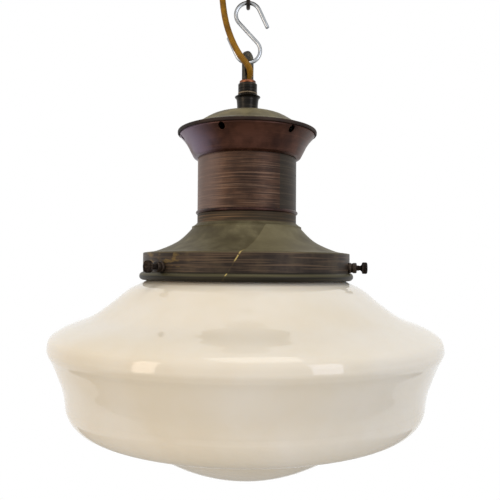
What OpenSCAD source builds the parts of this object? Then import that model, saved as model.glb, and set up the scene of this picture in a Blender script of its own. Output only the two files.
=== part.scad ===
// Opaline pendant light: an opal glass shade of schoolhouse shape, held by three thumbscrews
// in a patinated copper gallery, hung by a cast loop and an S hook from a ceiling rose.
// All sizes are millimetres. The origin is the centre of the back plate, on the ceiling,
// and the light hangs down from it along -Z. The front of the light looks towards -Y.

/* [Ceiling rose] */
// Radius of the rose where it meets the ceiling
rose_r = 48; // [42:1:60]
// Height of the rose
rose_h = 27; // [24:1:40]
// Distance that the foot of the rose stands out
rose_foot_out = 3; // [1:0.5:4]
// Height of the foot of the rose
rose_foot_h = 2; // [1:0.5:4]
// Radius of the flat underside of the rose
rose_flat_r = 33; // [31:0.5:36]
// Thickness of the spun sheet of the rose
rose_t = 1.2; // [0.8:0.1:2]
// Radius of the steel back plate
plate_r = 36; // [34:0.5:40]
// Thickness of the back plate
plate_t = 2; // [1.5:0.5:3]
// Distance between the two ceiling screw holes
plate_hole_gap = 50.8; // [46:0.1:60]
// Diameter of a ceiling screw hole
plate_hole_d = 4.5; // [3.5:0.1:6]
// Radius of the boss under the plate that takes the hook
boss_r = 6; // [4.5:0.5:8]
// Height of that boss
boss_h = 8; // [6:0.5:10]
// Radius of the knurled nut that holds the rose up
rose_nut_r = 6.5; // [5:0.5:9]
// Height of the knurled nut
rose_nut_h = 6; // [4:0.5:8]
// Radius of the flange of the rubber bush
bush_flange_r = 6.5; // [5.5:0.5:8]
// Radius of the waist of the bush, in the hole of the rose
bush_waist_r = 4.6; // [4:0.1:5]
// Thickness of one flange of the bush
bush_flange_t = 1.5; // [1:0.1:2.5]

/* [Terminal block] */
// Width of the terminal block
block_w = 12; // [10:0.5:14]
// Length of the terminal block
block_l = 26; // [24:0.5:30]
// Height of the terminal block
block_h = 12; // [9:0.5:14]
// Distance of the block from the middle of the plate
block_x = 17; // [15:0.5:20]
// Diameter of a wire hole in the block
block_hole_d = 3.2; // [2.4:0.1:4]

/* [Hooks] */
// Distance from the ceiling to the middle of the ceiling hook's lowest wire
hook_drop = 60.8; // [60:0.1:80]
// Diameter of the ceiling hook's wire
hook_wire_d = 3.4; // [3.4:0.1:4.6]
// Radius of the ceiling hook's bend, to the middle of its wire
hook_bend_r = 9; // [8:0.5:9.5]
// Radius of the ceiling hook's shoulder, to the middle of its wire
hook_shoulder_r = 6; // [4:0.5:7]
// Angle of the ceiling hook's tip past the level
hook_tip_angle = 25; // [0:5:30]
// Diameter of the S hook's wire
s_wire_d = 3.2; // [2.6:0.1:3.4]
// Radius of each bend of the S hook, to the middle of its wire
s_bend_r = 10; // [9:0.5:11]
// Distance between the centres of the two bends
s_bend_gap = 29.5; // [26:0.5:34]
// Length of each straight tail of the S hook
s_tail_l = 16.5; // [8:0.5:17]
// Angle of the tails off the vertical
s_tail_angle = 25; // [10:1:30]

/* [Loop and coupler] */
// Distance from the middle of the S hook's lowest wire to the top of the coupler
loop_drop = 15.2; // [12:0.2:20]
// Half the distance between the legs of the cast loop
loop_leg_x = 4.6; // [4.4:0.1:4.8]
// Diameter of the loop's legs
loop_leg_d = 3.2; // [2.6:0.1:3.3]
// Height of the metal over the opening, at the crown of the loop
loop_crown_h = 7.5; // [6.5:0.1:9]
// Turn of the loop about the vertical, from facing the front
loop_turn = -36; // [-40:1:-20]
// Radius of the copper ring under the loop
ring_r = 6.6; // [6.4:0.1:7.2]
// Height of the copper ring
ring_h = 2.4; // [1.5:0.1:4]
// Radius of the hole in the copper ring
ring_hole_r = 3.4; // [3.1:0.1:3.6]
// Radius of the coupler's collar
collar_r = 7.7; // [7.3:0.1:9]
// Height of the collar
collar_h = 7.6; // [6:0.1:10]
// Radius of the brass washer under the collar
washer_r = 7.9; // [7.3:0.1:9.5]
// Thickness of the brass washer
washer_h = 1.2; // [0.8:0.1:2]
// Radius of the lock nut at its edge
nut_edge_r = 10.4; // [9.5:0.1:12]
// Radius of the lock nut at its waist
nut_waist_r = 8.5; // [7.4:0.1:9]
// Distance from the top of the lock nut to its edge
nut_edge_drop = 2; // [1:0.1:2.5]
// Height of the lock nut
nut_h = 14.9; // [8:0.1:16]
// Radius of the hollow threaded stem
stem_r = 5; // [4.6:0.1:5.4]
// Radius of the bore of the stem
stem_bore_r = 3.4; // [3:0.1:3.8]

/* [Cap and vent flare] */
// Radius of the cap
cap_r = 56.2; // [55:0.1:62]
// Rise of the cap from its rim to its top
cap_rise = 16.1; // [14:0.1:22]
// Height of the cap's turned-down lip
cap_lip_h = 2.8; // [2.6:0.1:5]
// Thickness of the cap's sheet
cap_t = 1; // [0.8:0.1:1.3]
// Radius of the flat seat at the top of the cap
cap_seat_r = 12; // [8.5:0.1:14]
// Thickness of the cap's lip
cap_lip_t = 1.4; // [1:0.1:2]
// Depth of the flare below the cap's lip, to the top of the neck
flare_h = 16.6; // [14:0.1:24]
// Thickness of the flare's sheet
flare_t = 1; // [0.8:0.1:1.4]
// Radius of the flare where it turns in to the neck
flare_foot_r = 44.4; // [43:0.1:47]
// Height of the sleeve that the flare has round the neck
flare_sleeve_h = 2.9; // [2:0.1:5]
// Number of vent holes
vent_n = 6; // [3:1:10]
// Diameter of a vent hole
vent_d = 5; // [3:0.1:5.5]
// Turn of the first vent hole from the front
vent_turn = -21; // [-60:1:60]
// Distance of the vent holes below the cap's lip
vent_drop = 2.8; // [2.6:0.1:5]

/* [Neck] */
// Radius of the neck
neck_r = 39.8; // [37:0.1:41]
// Height of the neck
neck_h = 45; // [30:0.5:70]
// Thickness of the neck's sheet
neck_t = 0.9; // [0.7:0.1:1.4]
// Height of the bead ring under the neck
bead_h = 2.8; // [2:0.1:4]
// Distance that the bead ring stands out from the neck
bead_out = 1.3; // [0.5:0.1:2.5]
// Thickness of the perforated plate in the neck
carrier_t = 1.6; // [1:0.1:2.5]
// Distance of the plate below the top of the neck
carrier_drop = 5; // [2:0.5:12]
// Number of air holes in the plate
air_hole_n = 6; // [3:1:8]
// Radius of an air hole
air_hole_r = 6; // [3:0.5:8]

/* [Gallery] */
// Gap between the shade's neck and the outside of the gallery's band
band_gap = 6.5; // [6:0.1:10]
// Height of the gallery's band
band_h = 15; // [15:0.1:20]
// Height of the gallery's shoulder
shoulder_h = 23.6; // [18:0.1:32]
// Height of the collar above the shoulder
gallery_collar_h = 7.6; // [4:0.1:12]
// Distance that the step under the collar stands out
step_out = 4.2; // [2:0.1:6]
// Height of the step under the collar
step_h = 2.4; // [1:0.1:4]
// Thickness of the gallery's sheet
gallery_t = 1; // [0.8:0.1:1.4]
// Radius of the rolled bead at the foot of the gallery
roll_r = 3.1; // [2.5:0.1:3.3]

/* [Thumbscrews] */
// Turn of the first thumbscrew from the front
screw_turn = -47; // [-60:1:0]
// Distance of the screws' axis below the top of the band
screw_drop = 11; // [8:0.1:11]
// Radius of a screw's shank
shank_r = 2; // [1.6:0.1:2.4]
// Radius of a boss
screw_boss_r = 4; // [3.4:0.1:4]
// Distance that a boss stands out from the band
screw_boss_l = 6; // [4:0.1:8]
// Length of the bare shank between the boss and the head
shank_gap = 4.2; // [2:0.1:7]
// Radius of a screw's head
head_r = 4.4; // [3.2:0.1:5.5]
// Thickness of a screw's head
head_h = 3.8; // [2.5:0.1:6]
// Length of the nylon tip
tip_l = 1.6; // [1:0.1:2.4]
// Radius of the pin of the tip, in the bore of its screw
tip_pin_r = 1; // [0.8:0.1:1.2]
// Length of that pin
tip_pin_l = 2.4; // [1.5:0.1:4]

/* [Opal shade] */
// Radius of the shade at its widest
shade_r = 152.4; // [145:0.1:175]
// Wall of the glass
shade_t = 4; // [3:0.1:4.4]
// Radius of the shade's neck under its lip
shade_neck_r = 75.8; // [70:0.1:80]
// Distance that the lip stands out from the neck
shade_lip_out = 1.6; // [1:0.1:1.8]
// Height of the shade's lip
shade_lip_h = 3.7; // [2.5:0.1:5]
// Distance of the lip's underside above the screws' axis
shade_lip_up = 3.4; // [2.5:0.1:4]
// Distance from the screws' axis to the foot of the shade's neck
shade_neck_drop = 10.3; // [10:0.1:14]
// Drop from the neck's foot to the widest line
shade_top_h = 49.8; // [44:0.1:65]
// Rounding between the shade's neck and its shoulder
shade_fillet_r = 3.5; // [2:0.1:5]
// Drop from the widest line to the start of the lower corner
shade_skirt_h = 40.9; // [30:0.1:60]
// Radius of the shade at the start of the lower corner
shade_foot_r = 138.9; // [132:0.1:142]
// Rounding of the lower corner
shade_corner_r = 20.9; // [16:0.1:26]
// Radius of the bowl in the middle of the underside
bowl_r = 85; // [70:0.5:90]
// Depth of the bowl
bowl_h = 31.2; // [20:0.1:40]
// Drop of the underside from the corner to the bowl
bowl_drop = 10.6; // [8:0.1:16]

/* [Lampholder and bulb] */
// Length of the stem below the perforated plate
stem_down = 40; // [34:0.5:50]
// Radius of the lampholder
holder_r = 20.5; // [19.5:0.1:24]
// Height of the lampholder's domed top
holder_top_h = 18; // [16:0.5:22]
// Height of the lampholder's body
holder_body_h = 33; // [30:0.5:40]
// Radius of the lampholder's ring nut
holder_ring_r = 23; // [22:0.1:26]
// Height of the lampholder's ring nut
holder_ring_h = 6; // [4:0.5:8]
// Radius of the bulb's metal cap
bulb_cap_r = 13.1; // [12.8:0.1:13.2]
// Length of the bulb's metal cap
bulb_cap_h = 24; // [22:0.5:26]
// Radius of the bulb's glass
bulb_r = 30; // [24:0.5:34]
// Length of the bulb's glass
bulb_glass_h = 80; // [70:1:90]

/* [Flex] */
// Diameter of the covered flex
flex_d = 5; // [3.8:0.1:5]
// Diameter of one core of the flex
core_d = 1.5; // [1:0.1:1.5]

/* [Hidden] */
$fn = 96;
// Facets of a small round piece
SMALL_FN = 48;
WIRE_FN = 32;
// Direction in which the light hangs
DOWN = [0, 0, -1];
UP = [0, 0, 1];
// Gap between curved faces that hang on each other, on different bodies
hang_gap = 0.3;
// Gap round a screw or a stem in its hole
fit_gap = 0.05;
// How far a cut runs past the solid that it cuts
cut_past = 1;
// Number of thumbscrews, each with nodes of its own
SCREWS = 3;
// Smallest wall that a rounded edge leaves
edge_r = 0.6;
// Rounding of the edge between the cap and its lip
cap_edge_r = 1;
// Facets of a small swept wire
WIRE_SIDES = 8;
// Small difference in diameter, and small overlap, where a straight wire meets a bend
weld_gap = 0.06;
weld_lap = 0.3;
// Steps of a curve between two of its points
CURVE_STEPS = 6;

// Heights of the hanging gear
s_top_z = -hook_drop + hook_wire_d / 2 + hang_gap + s_wire_d / 2 - s_bend_r;
s_low_z = s_top_z - s_bend_gap;
pivot_z = s_low_z - s_bend_r;
loop_in_z = pivot_z + s_wire_d / 2 + hang_gap;
coupler_z = pivot_z - loop_drop;
collar_z = coupler_z - ring_h;
washer_z = collar_z - collar_h;
nut_z = washer_z - washer_h;

// Heights of the copper body
cap_z = nut_z - nut_h;
cap_rim_z = cap_z - cap_rise;
cap_lip_z = cap_rim_z - cap_lip_h;
neck_z = cap_lip_z - flare_h;
bead_z = neck_z - neck_h;
gallery_z = bead_z - bead_h;
shoulder_z = gallery_z - gallery_collar_h;
band_z = shoulder_z - shoulder_h;
roll_z = band_z - band_h - roll_r;
screw_z = band_z - screw_drop;

// Heights of the shade
shade_lip_z = screw_z + shade_lip_up + shade_lip_h;
shade_neck_z = screw_z - shade_neck_drop;
shade_wide_z = shade_neck_z - shade_top_h;
shade_corner_z = shade_wide_z - shade_skirt_h;
bowl_z = shade_corner_z - shade_corner_r - bowl_drop;

// Heights inside the neck
carrier_z = neck_z - carrier_drop;
carrier_nut_h = 4;
carrier_nut_r = stem_r + 3.5;
stem_top_z = washer_z + 3;
grip_h = 2.5;
stem_low_z = carrier_z - carrier_t - stem_down;
flex_stop_up = 2;
holder_entry_h = 8;
holder_z = stem_low_z + holder_entry_h;
holder_body_z = holder_z - holder_top_h;
holder_low_z = holder_body_z - holder_body_h;
holder_t = 1;
insert_r = holder_r - holder_t - 0.4;
insert_z = holder_body_z - 1;
socket_r = bulb_cap_r + 0.5;
socket_top_z = holder_low_z + 21;
contact_h = 2;
bulb_top_z = socket_top_z - contact_h - 0.2;
bulb_button_r = 4.5;
bulb_button_h = 1.6;
bulb_cone_h = 3;
bulb_cap_z = bulb_top_z - bulb_button_h - bulb_cone_h;
bulb_glass_z = bulb_cap_z - bulb_cap_h;

// Radii that are tied together
flare_r = cap_r - cap_lip_t - 0.4;
band_r = shade_neck_r + band_gap;
boss_bore_r = shank_r + fit_gap;
screw_tip_r = shade_neck_r + hang_gap;
screw_rest_r = band_r + screw_boss_l + shank_gap;
bead_r = neck_r + bead_out;
roll_mid_r = band_r - 0.3;

// Route of the hanging flex, from the bush of the rose to the grip in the collar.
// The points are round numbers chosen by hand, and the flex keeps its own length.
FLEX = [
    [-22, 0, -28.5], [-22, -0.3, -36], [-21.7, -1.4, -46], [-20.9, -3, -56],
    [-19.7, -4.6, -66], [-18, -5.9, -75], [-15.8, -6.8, -83], [-12.8, -7.6, -91],
    [-9.5, -8.1, -98], [-6.5, -8.4, -103], [-3.4, -8.4, -107.2], [-0.5, -7.8, -110.6],
    [1.4, -5.8, -113.6], [1.8, -3, -116.5], [0.9, -1.1, -119.2], [0.2, -0.3, -122],
    [0, 0, -126.4]
];
// Point of the route where the flex is level with the middle of the S hook
FLEX_MIDDLE = 5;
flex_x = -FLEX[0].x;

// One point of a smooth curve through four points, at t from 0 to 1 between the middle two
function curve_point(a, b, c, d, t) =
    0.5 * (2 * b + (c - a) * t + (2 * a - 5 * b + 4 * c - d) * t * t
    + (3 * b - a - 3 * c + d) * t * t * t);

// Points of a smooth curve through all the points of a list
function smooth(p, steps = CURVE_STEPS) = let(last = len(p) - 1) concat(
    [for (i = [0 : last - 1]) for (k = [0 : steps - 1])
        curve_point(
            i == 0 ? 2 * p[0] - p[1] : p[i - 1], p[i], p[i + 1],
            i == last - 1 ? 2 * p[last] - p[last - 1] : p[i + 2], k / steps)],
    [p[last]]);

// Points of an arc, from one angle to another
function arc(centre, r, from, to, steps = 12) =
    [for (k = [0 : steps]) let(a = from + (to - from) * k / steps)
        centre + r * [cos(a), sin(a)]];

// A point between two corners, by a share of the way along each direction
function between(a, b, share) = [a.x + (b.x - a.x) * share.x, a.y + (b.y - a.y) * share.y];

// Outline of a sheet: an outer line and the same line moved to its right by the thickness
function unit(v) = v / norm(v);
function side(p, i) = let(
    v = unit(p[min(i + 1, len(p) - 1)] - p[max(i - 1, 0)])) [v.y, -v.x];
function sheet(p, t) = concat(p, [for (i = [len(p) - 1 : -1 : 0])
    let(q = p[i] + t * side(p, i)) [max(q.x, 0), q.y]]);

// A disc or a ring that hangs down from the height z
module ring(z, h, outer, inner = 0) {
    translate([0, 0, z - h]) difference() {
        cylinder(h = h, r = outer);
        if (inner > 0) {
            translate([0, 0, -h]) cylinder(h = 3 * h, r = inner);
        }
    }
}

// Places a piece that is built along +Z so that it points outwards, turned from the front
module radial(turn, z) {
    rotate([0, 0, turn]) translate([0, 0, z]) rotate([90, 0, 0]) children();
}

// A bent stretch of round wire, in the plane of X and Z
module wire_bend(r, d, from, sweep) {
    rotate([90, 0, 0]) rotate([0, 0, from]) rotate_extrude(angle = sweep)
        translate([r, 0]) circle(d = d, $fn = WIRE_FN);
}

// A tube along a list of points, between two of them. The ends of the list point along
// first_dir and last_dir, so that their faces lie flat on what holds the wire.
module swept(points, d, first = 0, last = undef, first_dir = DOWN, last_dir = DOWN) {
    list_end = len(points) - 1;
    stop = is_undef(last) ? list_end : last;
    rings = [for (i = [first : stop]) let(
        along = i == 0 ? first_dir
            : i == list_end ? last_dir
            : unit(points[i + 1] - points[i - 1]),
        flat = unit(cross(along, [0, 1, 0.001])),
        up = cross(flat, along))
        for (k = [0 : WIRE_SIDES - 1]) let(a = 360 * k / WIRE_SIDES)
            points[i] + d / 2 * (cos(a) * flat + sin(a) * up)];
    walls = [for (i = [0 : stop - first - 1]) for (k = [0 : WIRE_SIDES - 1]) let(
        a = i * WIRE_SIDES + k, b = i * WIRE_SIDES + (k + 1) % WIRE_SIDES)
        each [[a, b, b + WIRE_SIDES], [a, b + WIRE_SIDES, a + WIRE_SIDES]]];
    ends = [
        [for (k = [WIRE_SIDES - 1 : -1 : 0]) k],
        [for (k = [0 : WIRE_SIDES - 1]) (stop - first) * WIRE_SIDES + k]
    ];
    polyhedron(points = rings, faces = concat(walls, ends), convexity = 4);
}

// Steel plate that is screwed to the ceiling, with a welded boss for the hook
module back_plate() {
    color("silver") difference() {
        union() {
            ring(0, plate_t, plate_r);
            ring(-plate_t, boss_h, boss_r);
        }
        for (y = [-1, 1]) {
            translate([0, y * plate_hole_gap / 2, -2 * plate_t])
                cylinder(h = 3 * plate_t, d = plate_hole_d);
        }
        translate([0, 0, -plate_t - 2 * boss_h])
            cylinder(h = 2 * boss_h, r = hook_wire_d / 2 + fit_gap);
    }
}

// Spun brass rose that covers the plate
module ceiling_rose() {
    wall_r = rose_r - rose_foot_out;
    corner_r = wall_r - rose_flat_r;
    wall = concat(
        [[rose_r, 0], [rose_r, -rose_foot_h], [wall_r, -2 * rose_foot_h]],
        arc([rose_flat_r, corner_r - rose_h], corner_r, 0, -90),
        [[0, -rose_h]]);
    inside = concat(
        [[0, rose_t - rose_h]],
        arc([rose_flat_r, corner_r - rose_h], corner_r - rose_t, -90, 0),
        [[wall_r - rose_t, 0]]);
    color("darkolivegreen") difference() {
        rotate_extrude() polygon(concat(wall, inside));
        translate([0, 0, -2 * rose_h]) cylinder(h = 2 * rose_h, r = hook_wire_d / 2 + hang_gap);
        translate([-flex_x, 0, -2 * rose_h]) cylinder(h = 2 * rose_h, r = bush_waist_r);
    }
}

// Iron hook: a straight shank, a shoulder that steps back, and a bend that comes to the front
module rose_hook() {
    bend_z = -hook_drop + hook_bend_r;
    rise = sqrt(pow(hook_bend_r + hook_shoulder_r, 2) - pow(hook_shoulder_r, 2));
    meet = acos(hook_shoulder_r / (hook_bend_r + hook_shoulder_r));
    shank_z = bend_z + rise;
    lap_angle = asin(weld_lap / hook_shoulder_r);
    color("dimgray") rotate([0, 0, 90]) {
        translate([0, 0, shank_z - weld_lap]) cylinder(
            h = -plate_t - shank_z + weld_lap, d = hook_wire_d - 2 * weld_gap, $fn = SMALL_FN);
        translate([hook_shoulder_r, 0, shank_z])
            wire_bend(hook_shoulder_r, hook_wire_d - weld_gap, 180, meet + lap_angle);
        translate([0, 0, bend_z]) wire_bend(
            hook_bend_r, hook_wire_d, -180 - hook_tip_angle, 180 + meet + hook_tip_angle);
    }
}

// Knurled brass nut that holds the rose up on the hook's shank
rose_nut_step = 1.5;
module rose_nut() {
    color("goldenrod") difference() {
        union() {
            ring(-rose_h, rose_nut_h - rose_nut_step, rose_nut_r);
            ring(rose_nut_step - rose_h - rose_nut_h, rose_nut_step, rose_nut_r - rose_nut_step);
        }
        translate([0, 0, -2 * rose_h]) cylinder(h = 2 * rose_h, r = hook_wire_d / 2 + fit_gap);
    }
}

// Rubber bush where the flex goes into the rose, with a smaller flange to push in
bush_push = 0.8;
module flex_bush() {
    color("black") translate([-flex_x, 0, 0]) difference() {
        union() {
            ring(-rose_h, bush_flange_t, bush_flange_r);
            ring(-rose_h + rose_t, rose_t, bush_waist_r);
            ring(-rose_h + rose_t + bush_flange_t, bush_flange_t, bush_flange_r - bush_push);
        }
        translate([0, 0, -2 * rose_h]) cylinder(h = 2 * rose_h, r = flex_d / 2 + fit_gap);
    }
}

// Places of the wire holes in the terminal block
block_mid_z = -plate_t - block_h / 2;
block_end = 4.5;
block_ways = [for (y = [-1, 0, 1]) y * (block_l / 2 - block_end)];
insert_wall = 0.8;
insert_recess = 1;

// Porcelain terminal block on the plate
module terminal_block() {
    color("ivory") difference() {
        translate([block_x - block_w / 2, -block_l / 2, -plate_t - block_h])
            cube([block_w, block_l, block_h]);
        for (y = block_ways) {
            translate([block_x - block_w, y, block_mid_z]) rotate([0, 90, 0])
                cylinder(h = 2 * block_w, d = block_hole_d + 2 * insert_wall);
        }
    }
}

// Brass tubes in the terminal block, with the bore that takes a core
module terminal_inserts() {
    length = block_w - 2 * insert_recess;
    color("gold") for (y = block_ways) {
        translate([block_x - length / 2, y, block_mid_z]) rotate([0, 90, 0]) difference() {
            cylinder(h = length, d = block_hole_d + 2 * insert_wall);
            translate([0, 0, -cut_past])
                cylinder(h = length + 2 * cut_past, d = block_hole_d);
        }
    }
}

// Earth screw with its washer, on the plate
earth_x = -14;
earth_washer_r = 4;
earth_washer_h = 1.2;
earth_head_r = 3;
earth_head_h = 2.4;
module earth_screw() {
    color("gold") translate([earth_x, 0, 0]) {
        ring(-plate_t, earth_washer_h, earth_washer_r);
        ring(-plate_t - earth_washer_h, earth_head_h, earth_head_r);
    }
}

// Covered flex that the bush and the rose hold
flex_in_rose_z = -15;
module flex_in_rose() {
    color("goldenrod") translate([-flex_x, 0, FLEX[0].z])
        cylinder(h = flex_in_rose_z - FLEX[0].z, d = flex_d, $fn = SMALL_FN);
}

// Three bare cores: two to the terminal block, one to the earth screw
module rose_cores() {
    start = [-flex_x, 0, flex_in_rose_z];
    end_x = block_x - block_w / 2 + 3;
    earth_z = -plate_t - earth_washer_h - earth_head_h;
    color("saddlebrown") {
        for (s = [-1, 1]) {
            swept(smooth([
                start + [0, s * 1.1, 0], start + [0.6, s * 1.6, 2], start + [5, s * 5, 6],
                [-6, s * 9, block_mid_z], [4, s * 9, block_mid_z],
                [end_x, s * (block_l / 2 - block_end), block_mid_z]],
                3), core_d, first_dir = UP, last_dir = [1, 0, 0]);
        }
        swept(smooth([
            start + [1.4, 0, 0], start + [1.8, 0, 2.5], [earth_x - 1, 0, earth_z - 3],
            [earth_x, 0, earth_z]], 3), core_d, first_dir = UP, last_dir = UP);
    }
}

// S hook of zinc-plated wire
module s_hook() {
    lean = asin(2 * s_bend_r / s_bend_gap);
    slant_l = sqrt(pow(s_bend_gap, 2) - pow(2 * s_bend_r, 2)) + 2 * weld_lap;
    sweep = 180 + lean - s_tail_angle;
    straight_d = s_wire_d - weld_gap;
    color("lightgray") translate([0, 0, (s_top_z + s_low_z) / 2]) {
        for (half = [0, 180]) {
            rotate([0, half, 0]) translate([0, 0, s_bend_gap / 2]) {
                wire_bend(s_bend_r, s_wire_d, s_tail_angle, sweep);
                rotate([0, -s_tail_angle, 0]) translate([s_bend_r, 0, -s_tail_l])
                    cylinder(h = s_tail_l + weld_lap, d = straight_d, $fn = WIRE_FN);
            }
        }
        rotate([0, -lean, 0]) translate([0, 0, -slant_l / 2])
            cylinder(h = slant_l, d = straight_d, $fn = WIRE_FN);
    }
}

// Free stretches of the covered flex, which meet at one point of its route
module flex_upper() {
    color("darkgoldenrod") swept(smooth(FLEX, 2), flex_d, 0, 2 * FLEX_MIDDLE);
}
module flex_lower() {
    color("darkgoldenrod") swept(smooth(FLEX, 2), flex_d, 2 * FLEX_MIDDLE);
}

// Covered flex that the coupler and the stem hold
module flex_in_stem() {
    top = stem_top_z + grip_h;
    low = stem_low_z + flex_stop_up;
    color("goldenrod") translate([0, 0, low]) cylinder(h = top - low, d = flex_d, $fn = SMALL_FN);
}

// Cast loop: two legs, a bow that rests on the S hook, and the crown over it
module top_loop() {
    in_bow_z = loop_in_z - loop_leg_x + loop_leg_d / 2;
    out_bow_z = in_bow_z - loop_leg_d + loop_crown_h;
    web_t = 0.8 * loop_leg_d;
    // Inner edge of the web, hidden in the lower bow
    web_in_r = loop_leg_x - loop_leg_d / 5;
    color("darkolivegreen") rotate([0, 0, loop_turn - 90]) {
        for (x = [-1, 1]) {
            translate([x * loop_leg_x, 0, coupler_z]) cylinder(
                h = out_bow_z + weld_lap - coupler_z, d = loop_leg_d - weld_gap, $fn = WIRE_FN);
        }
        translate([0, 0, in_bow_z]) wire_bend(loop_leg_x, loop_leg_d - 4 * weld_gap, 0, 180);
        translate([0, 0, out_bow_z]) wire_bend(loop_leg_x, loop_leg_d, 0, 180);
        // Web between the two bows
        translate([0, web_t / 2, 0]) rotate([90, 0, 0]) linear_extrude(web_t) difference() {
            union() {
                translate([0, out_bow_z]) circle(r = loop_leg_x, $fn = 64);
                translate([-loop_leg_x, in_bow_z + weld_lap])
                    square([2 * loop_leg_x, out_bow_z - in_bow_z]);
            }
            translate([0, in_bow_z]) circle(r = web_in_r, $fn = 64);
        }
    }
}

// Copper ring that the loop stands on
module copper_ring() {
    color("peru") ring(coupler_z, ring_h, ring_r, ring_hole_r);
}

// Turned collar of the coupler, screwed on the stem, with two shallow turned grooves
groove_r = 0.35;
module collar() {
    color("darkslategray") difference() {
        ring(collar_z, collar_h, collar_r, stem_r + fit_gap);
        for (z = [0.3, 0.62] * collar_h) {
            translate([0, 0, collar_z - z]) rotate_extrude()
                translate([collar_r, 0]) circle(r = groove_r, $fn = WIRE_FN);
        }
    }
}

// Grip that holds the flex in the collar
module cord_grip() {
    color("whitesmoke") ring(stem_top_z + grip_h, grip_h, stem_r, flex_d / 2 + fit_gap);
}

// Brass washer between the collar and the lock nut
module brass_washer() {
    color("burlywood") ring(washer_z, washer_h, washer_r, stem_r + fit_gap);
}

// Turned lock nut: a short neck, a sharp edge and a waist that stands on the cap
module lock_nut() {
    edge_z = nut_z - nut_edge_drop;
    edge = (nut_edge_r - nut_waist_r) / 4;
    waist_z = edge_z - (edge_z - cap_z) * 0.55;
    color("darkslategray") rotate_extrude() polygon(concat(
        [[stem_r + fit_gap, nut_z], [nut_waist_r - edge, nut_z]],
        [[nut_waist_r - edge / 2, nut_z - edge]],
        [[nut_edge_r - edge, edge_z + edge / 2], [nut_edge_r, edge_z]],
        [[nut_edge_r - edge / 2, edge_z - edge]],
        smooth([
            [nut_edge_r - 2 * edge, edge_z - 2.5 * edge], [nut_waist_r + edge, edge_z - 5 * edge],
            [nut_waist_r, waist_z], [nut_waist_r, cap_z]], 3),
        [[stem_r + fit_gap, cap_z]]));
}

// Hollow threaded stem that carries the whole body
module stem() {
    color("goldenrod") ring(stem_top_z, stem_top_z - stem_low_z, stem_r, stem_bore_r);
}

// Angle on the dome of the cap over a radius, from the top of the dome

// Dished cap with a flat seat for the nut, a ledge for the flare and a turned-down lip
module cap() {
    ledge_r = flare_r - flare_t - edge_r;
    corner_a = [cap_seat_r, cap_z];
    corner_b = [cap_r - cap_edge_r, cap_rim_z];
    dish = smooth([
        corner_a, between(corner_a, corner_b, [0.19, 0.06]),
        between(corner_a, corner_b, [0.42, 0.25]), between(corner_a, corner_b, [0.65, 0.62]),
        between(corner_a, corner_b, [0.77, 0.81]), between(corner_a, corner_b, [0.88, 0.88]),
        corner_b], 3);
    outside = concat(
        [[stem_r + fit_gap, cap_z]], dish,
        arc([cap_r - cap_edge_r, cap_rim_z - cap_edge_r], cap_edge_r, 70, 0, 3),
        arc([cap_r - edge_r, cap_lip_z + edge_r], edge_r, 0, -90, 3));
    inside = concat(
        [[cap_r - cap_lip_t, cap_lip_z], [cap_r - cap_lip_t, cap_rim_z - cap_t]],
        [[ledge_r, cap_rim_z - cap_t]],
        [for (i = [len(dish) - 3 : -1 : 0]) dish[i] + cap_t * side(dish, i)],
        [[stem_r + fit_gap, cap_z - cap_t]]);
    color("olive") rotate_extrude() polygon(concat(outside, inside));
}

// Nut under the cap
module cap_nut() {
    color("goldenrod") ring(cap_z - cap_t, carrier_nut_h, carrier_nut_r, stem_r + fit_gap);
}

// Flared bell with vent holes, from the cap's ledge down to a sleeve round the neck
flare_sleeve_t = 1.4;
module vent_flare() {
    corner_a = [flare_r, cap_lip_z - flare_t];
    corner_b = [flare_foot_r, neck_z + flare_t / 2];
    sleeve_z = neck_z - flare_sleeve_h;
    bell = smooth([
        corner_a, between(corner_a, corner_b, [0.3, 0.22]),
        between(corner_a, corner_b, [0.52, 0.41]), between(corner_a, corner_b, [0.7, 0.61]),
        between(corner_a, corner_b, [0.85, 0.81]), corner_b], 3);
    sleeve_end = [neck_r + flare_sleeve_t, sleeve_z];
    foot = smooth([corner_b, between(corner_b, sleeve_end, [0.38, 0.62]), sleeve_end], 3);
    color("saddlebrown") difference() {
        rotate_extrude() polygon(concat(
            [[flare_r - flare_t, cap_rim_z - cap_t], [flare_r, cap_rim_z - cap_t]],
            bell,
            [for (i = [1 : len(foot) - 1]) foot[i]],
            [[neck_r, sleeve_z], [neck_r, neck_z + flare_t]],
            [[flare_foot_r - 2 * flare_t, neck_z + 2 * flare_t]],
            [for (i = [len(bell) - 4 : -1 : 0]) bell[i] - [flare_t, 0]]));
        for (i = [0 : vent_n - 1]) {
            radial(vent_turn + 360 / vent_n * i, cap_lip_z - vent_drop)
                translate([0, 0, neck_r]) cylinder(h = 2 * neck_r, d = vent_d, $fn = WIRE_FN);
        }
    }
}

// Perforated plate that joins the stem to the neck
module carrier_plate() {
    color("gray") difference() {
        ring(carrier_z, carrier_t, neck_r - neck_t, stem_r + fit_gap);
        for (i = [0 : air_hole_n - 1]) {
            rotate([0, 0, 360 / air_hole_n * i]) translate([(neck_r + stem_r) / 2, 0, carrier_z])
                cylinder(h = 3 * carrier_t, r = air_hole_r, center = true, $fn = SMALL_FN);
        }
    }
}

// Nuts over and under the perforated plate
module carrier_nuts() {
    color("goldenrod") for (z = [carrier_z + carrier_nut_h, carrier_z - carrier_t]) {
        ring(z, carrier_nut_h, carrier_nut_r, stem_r + fit_gap);
    }
}

// Plain tube of the neck
module neck_tube() {
    color("rosybrown") ring(neck_z, neck_h, neck_r, neck_r - neck_t);
}

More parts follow.
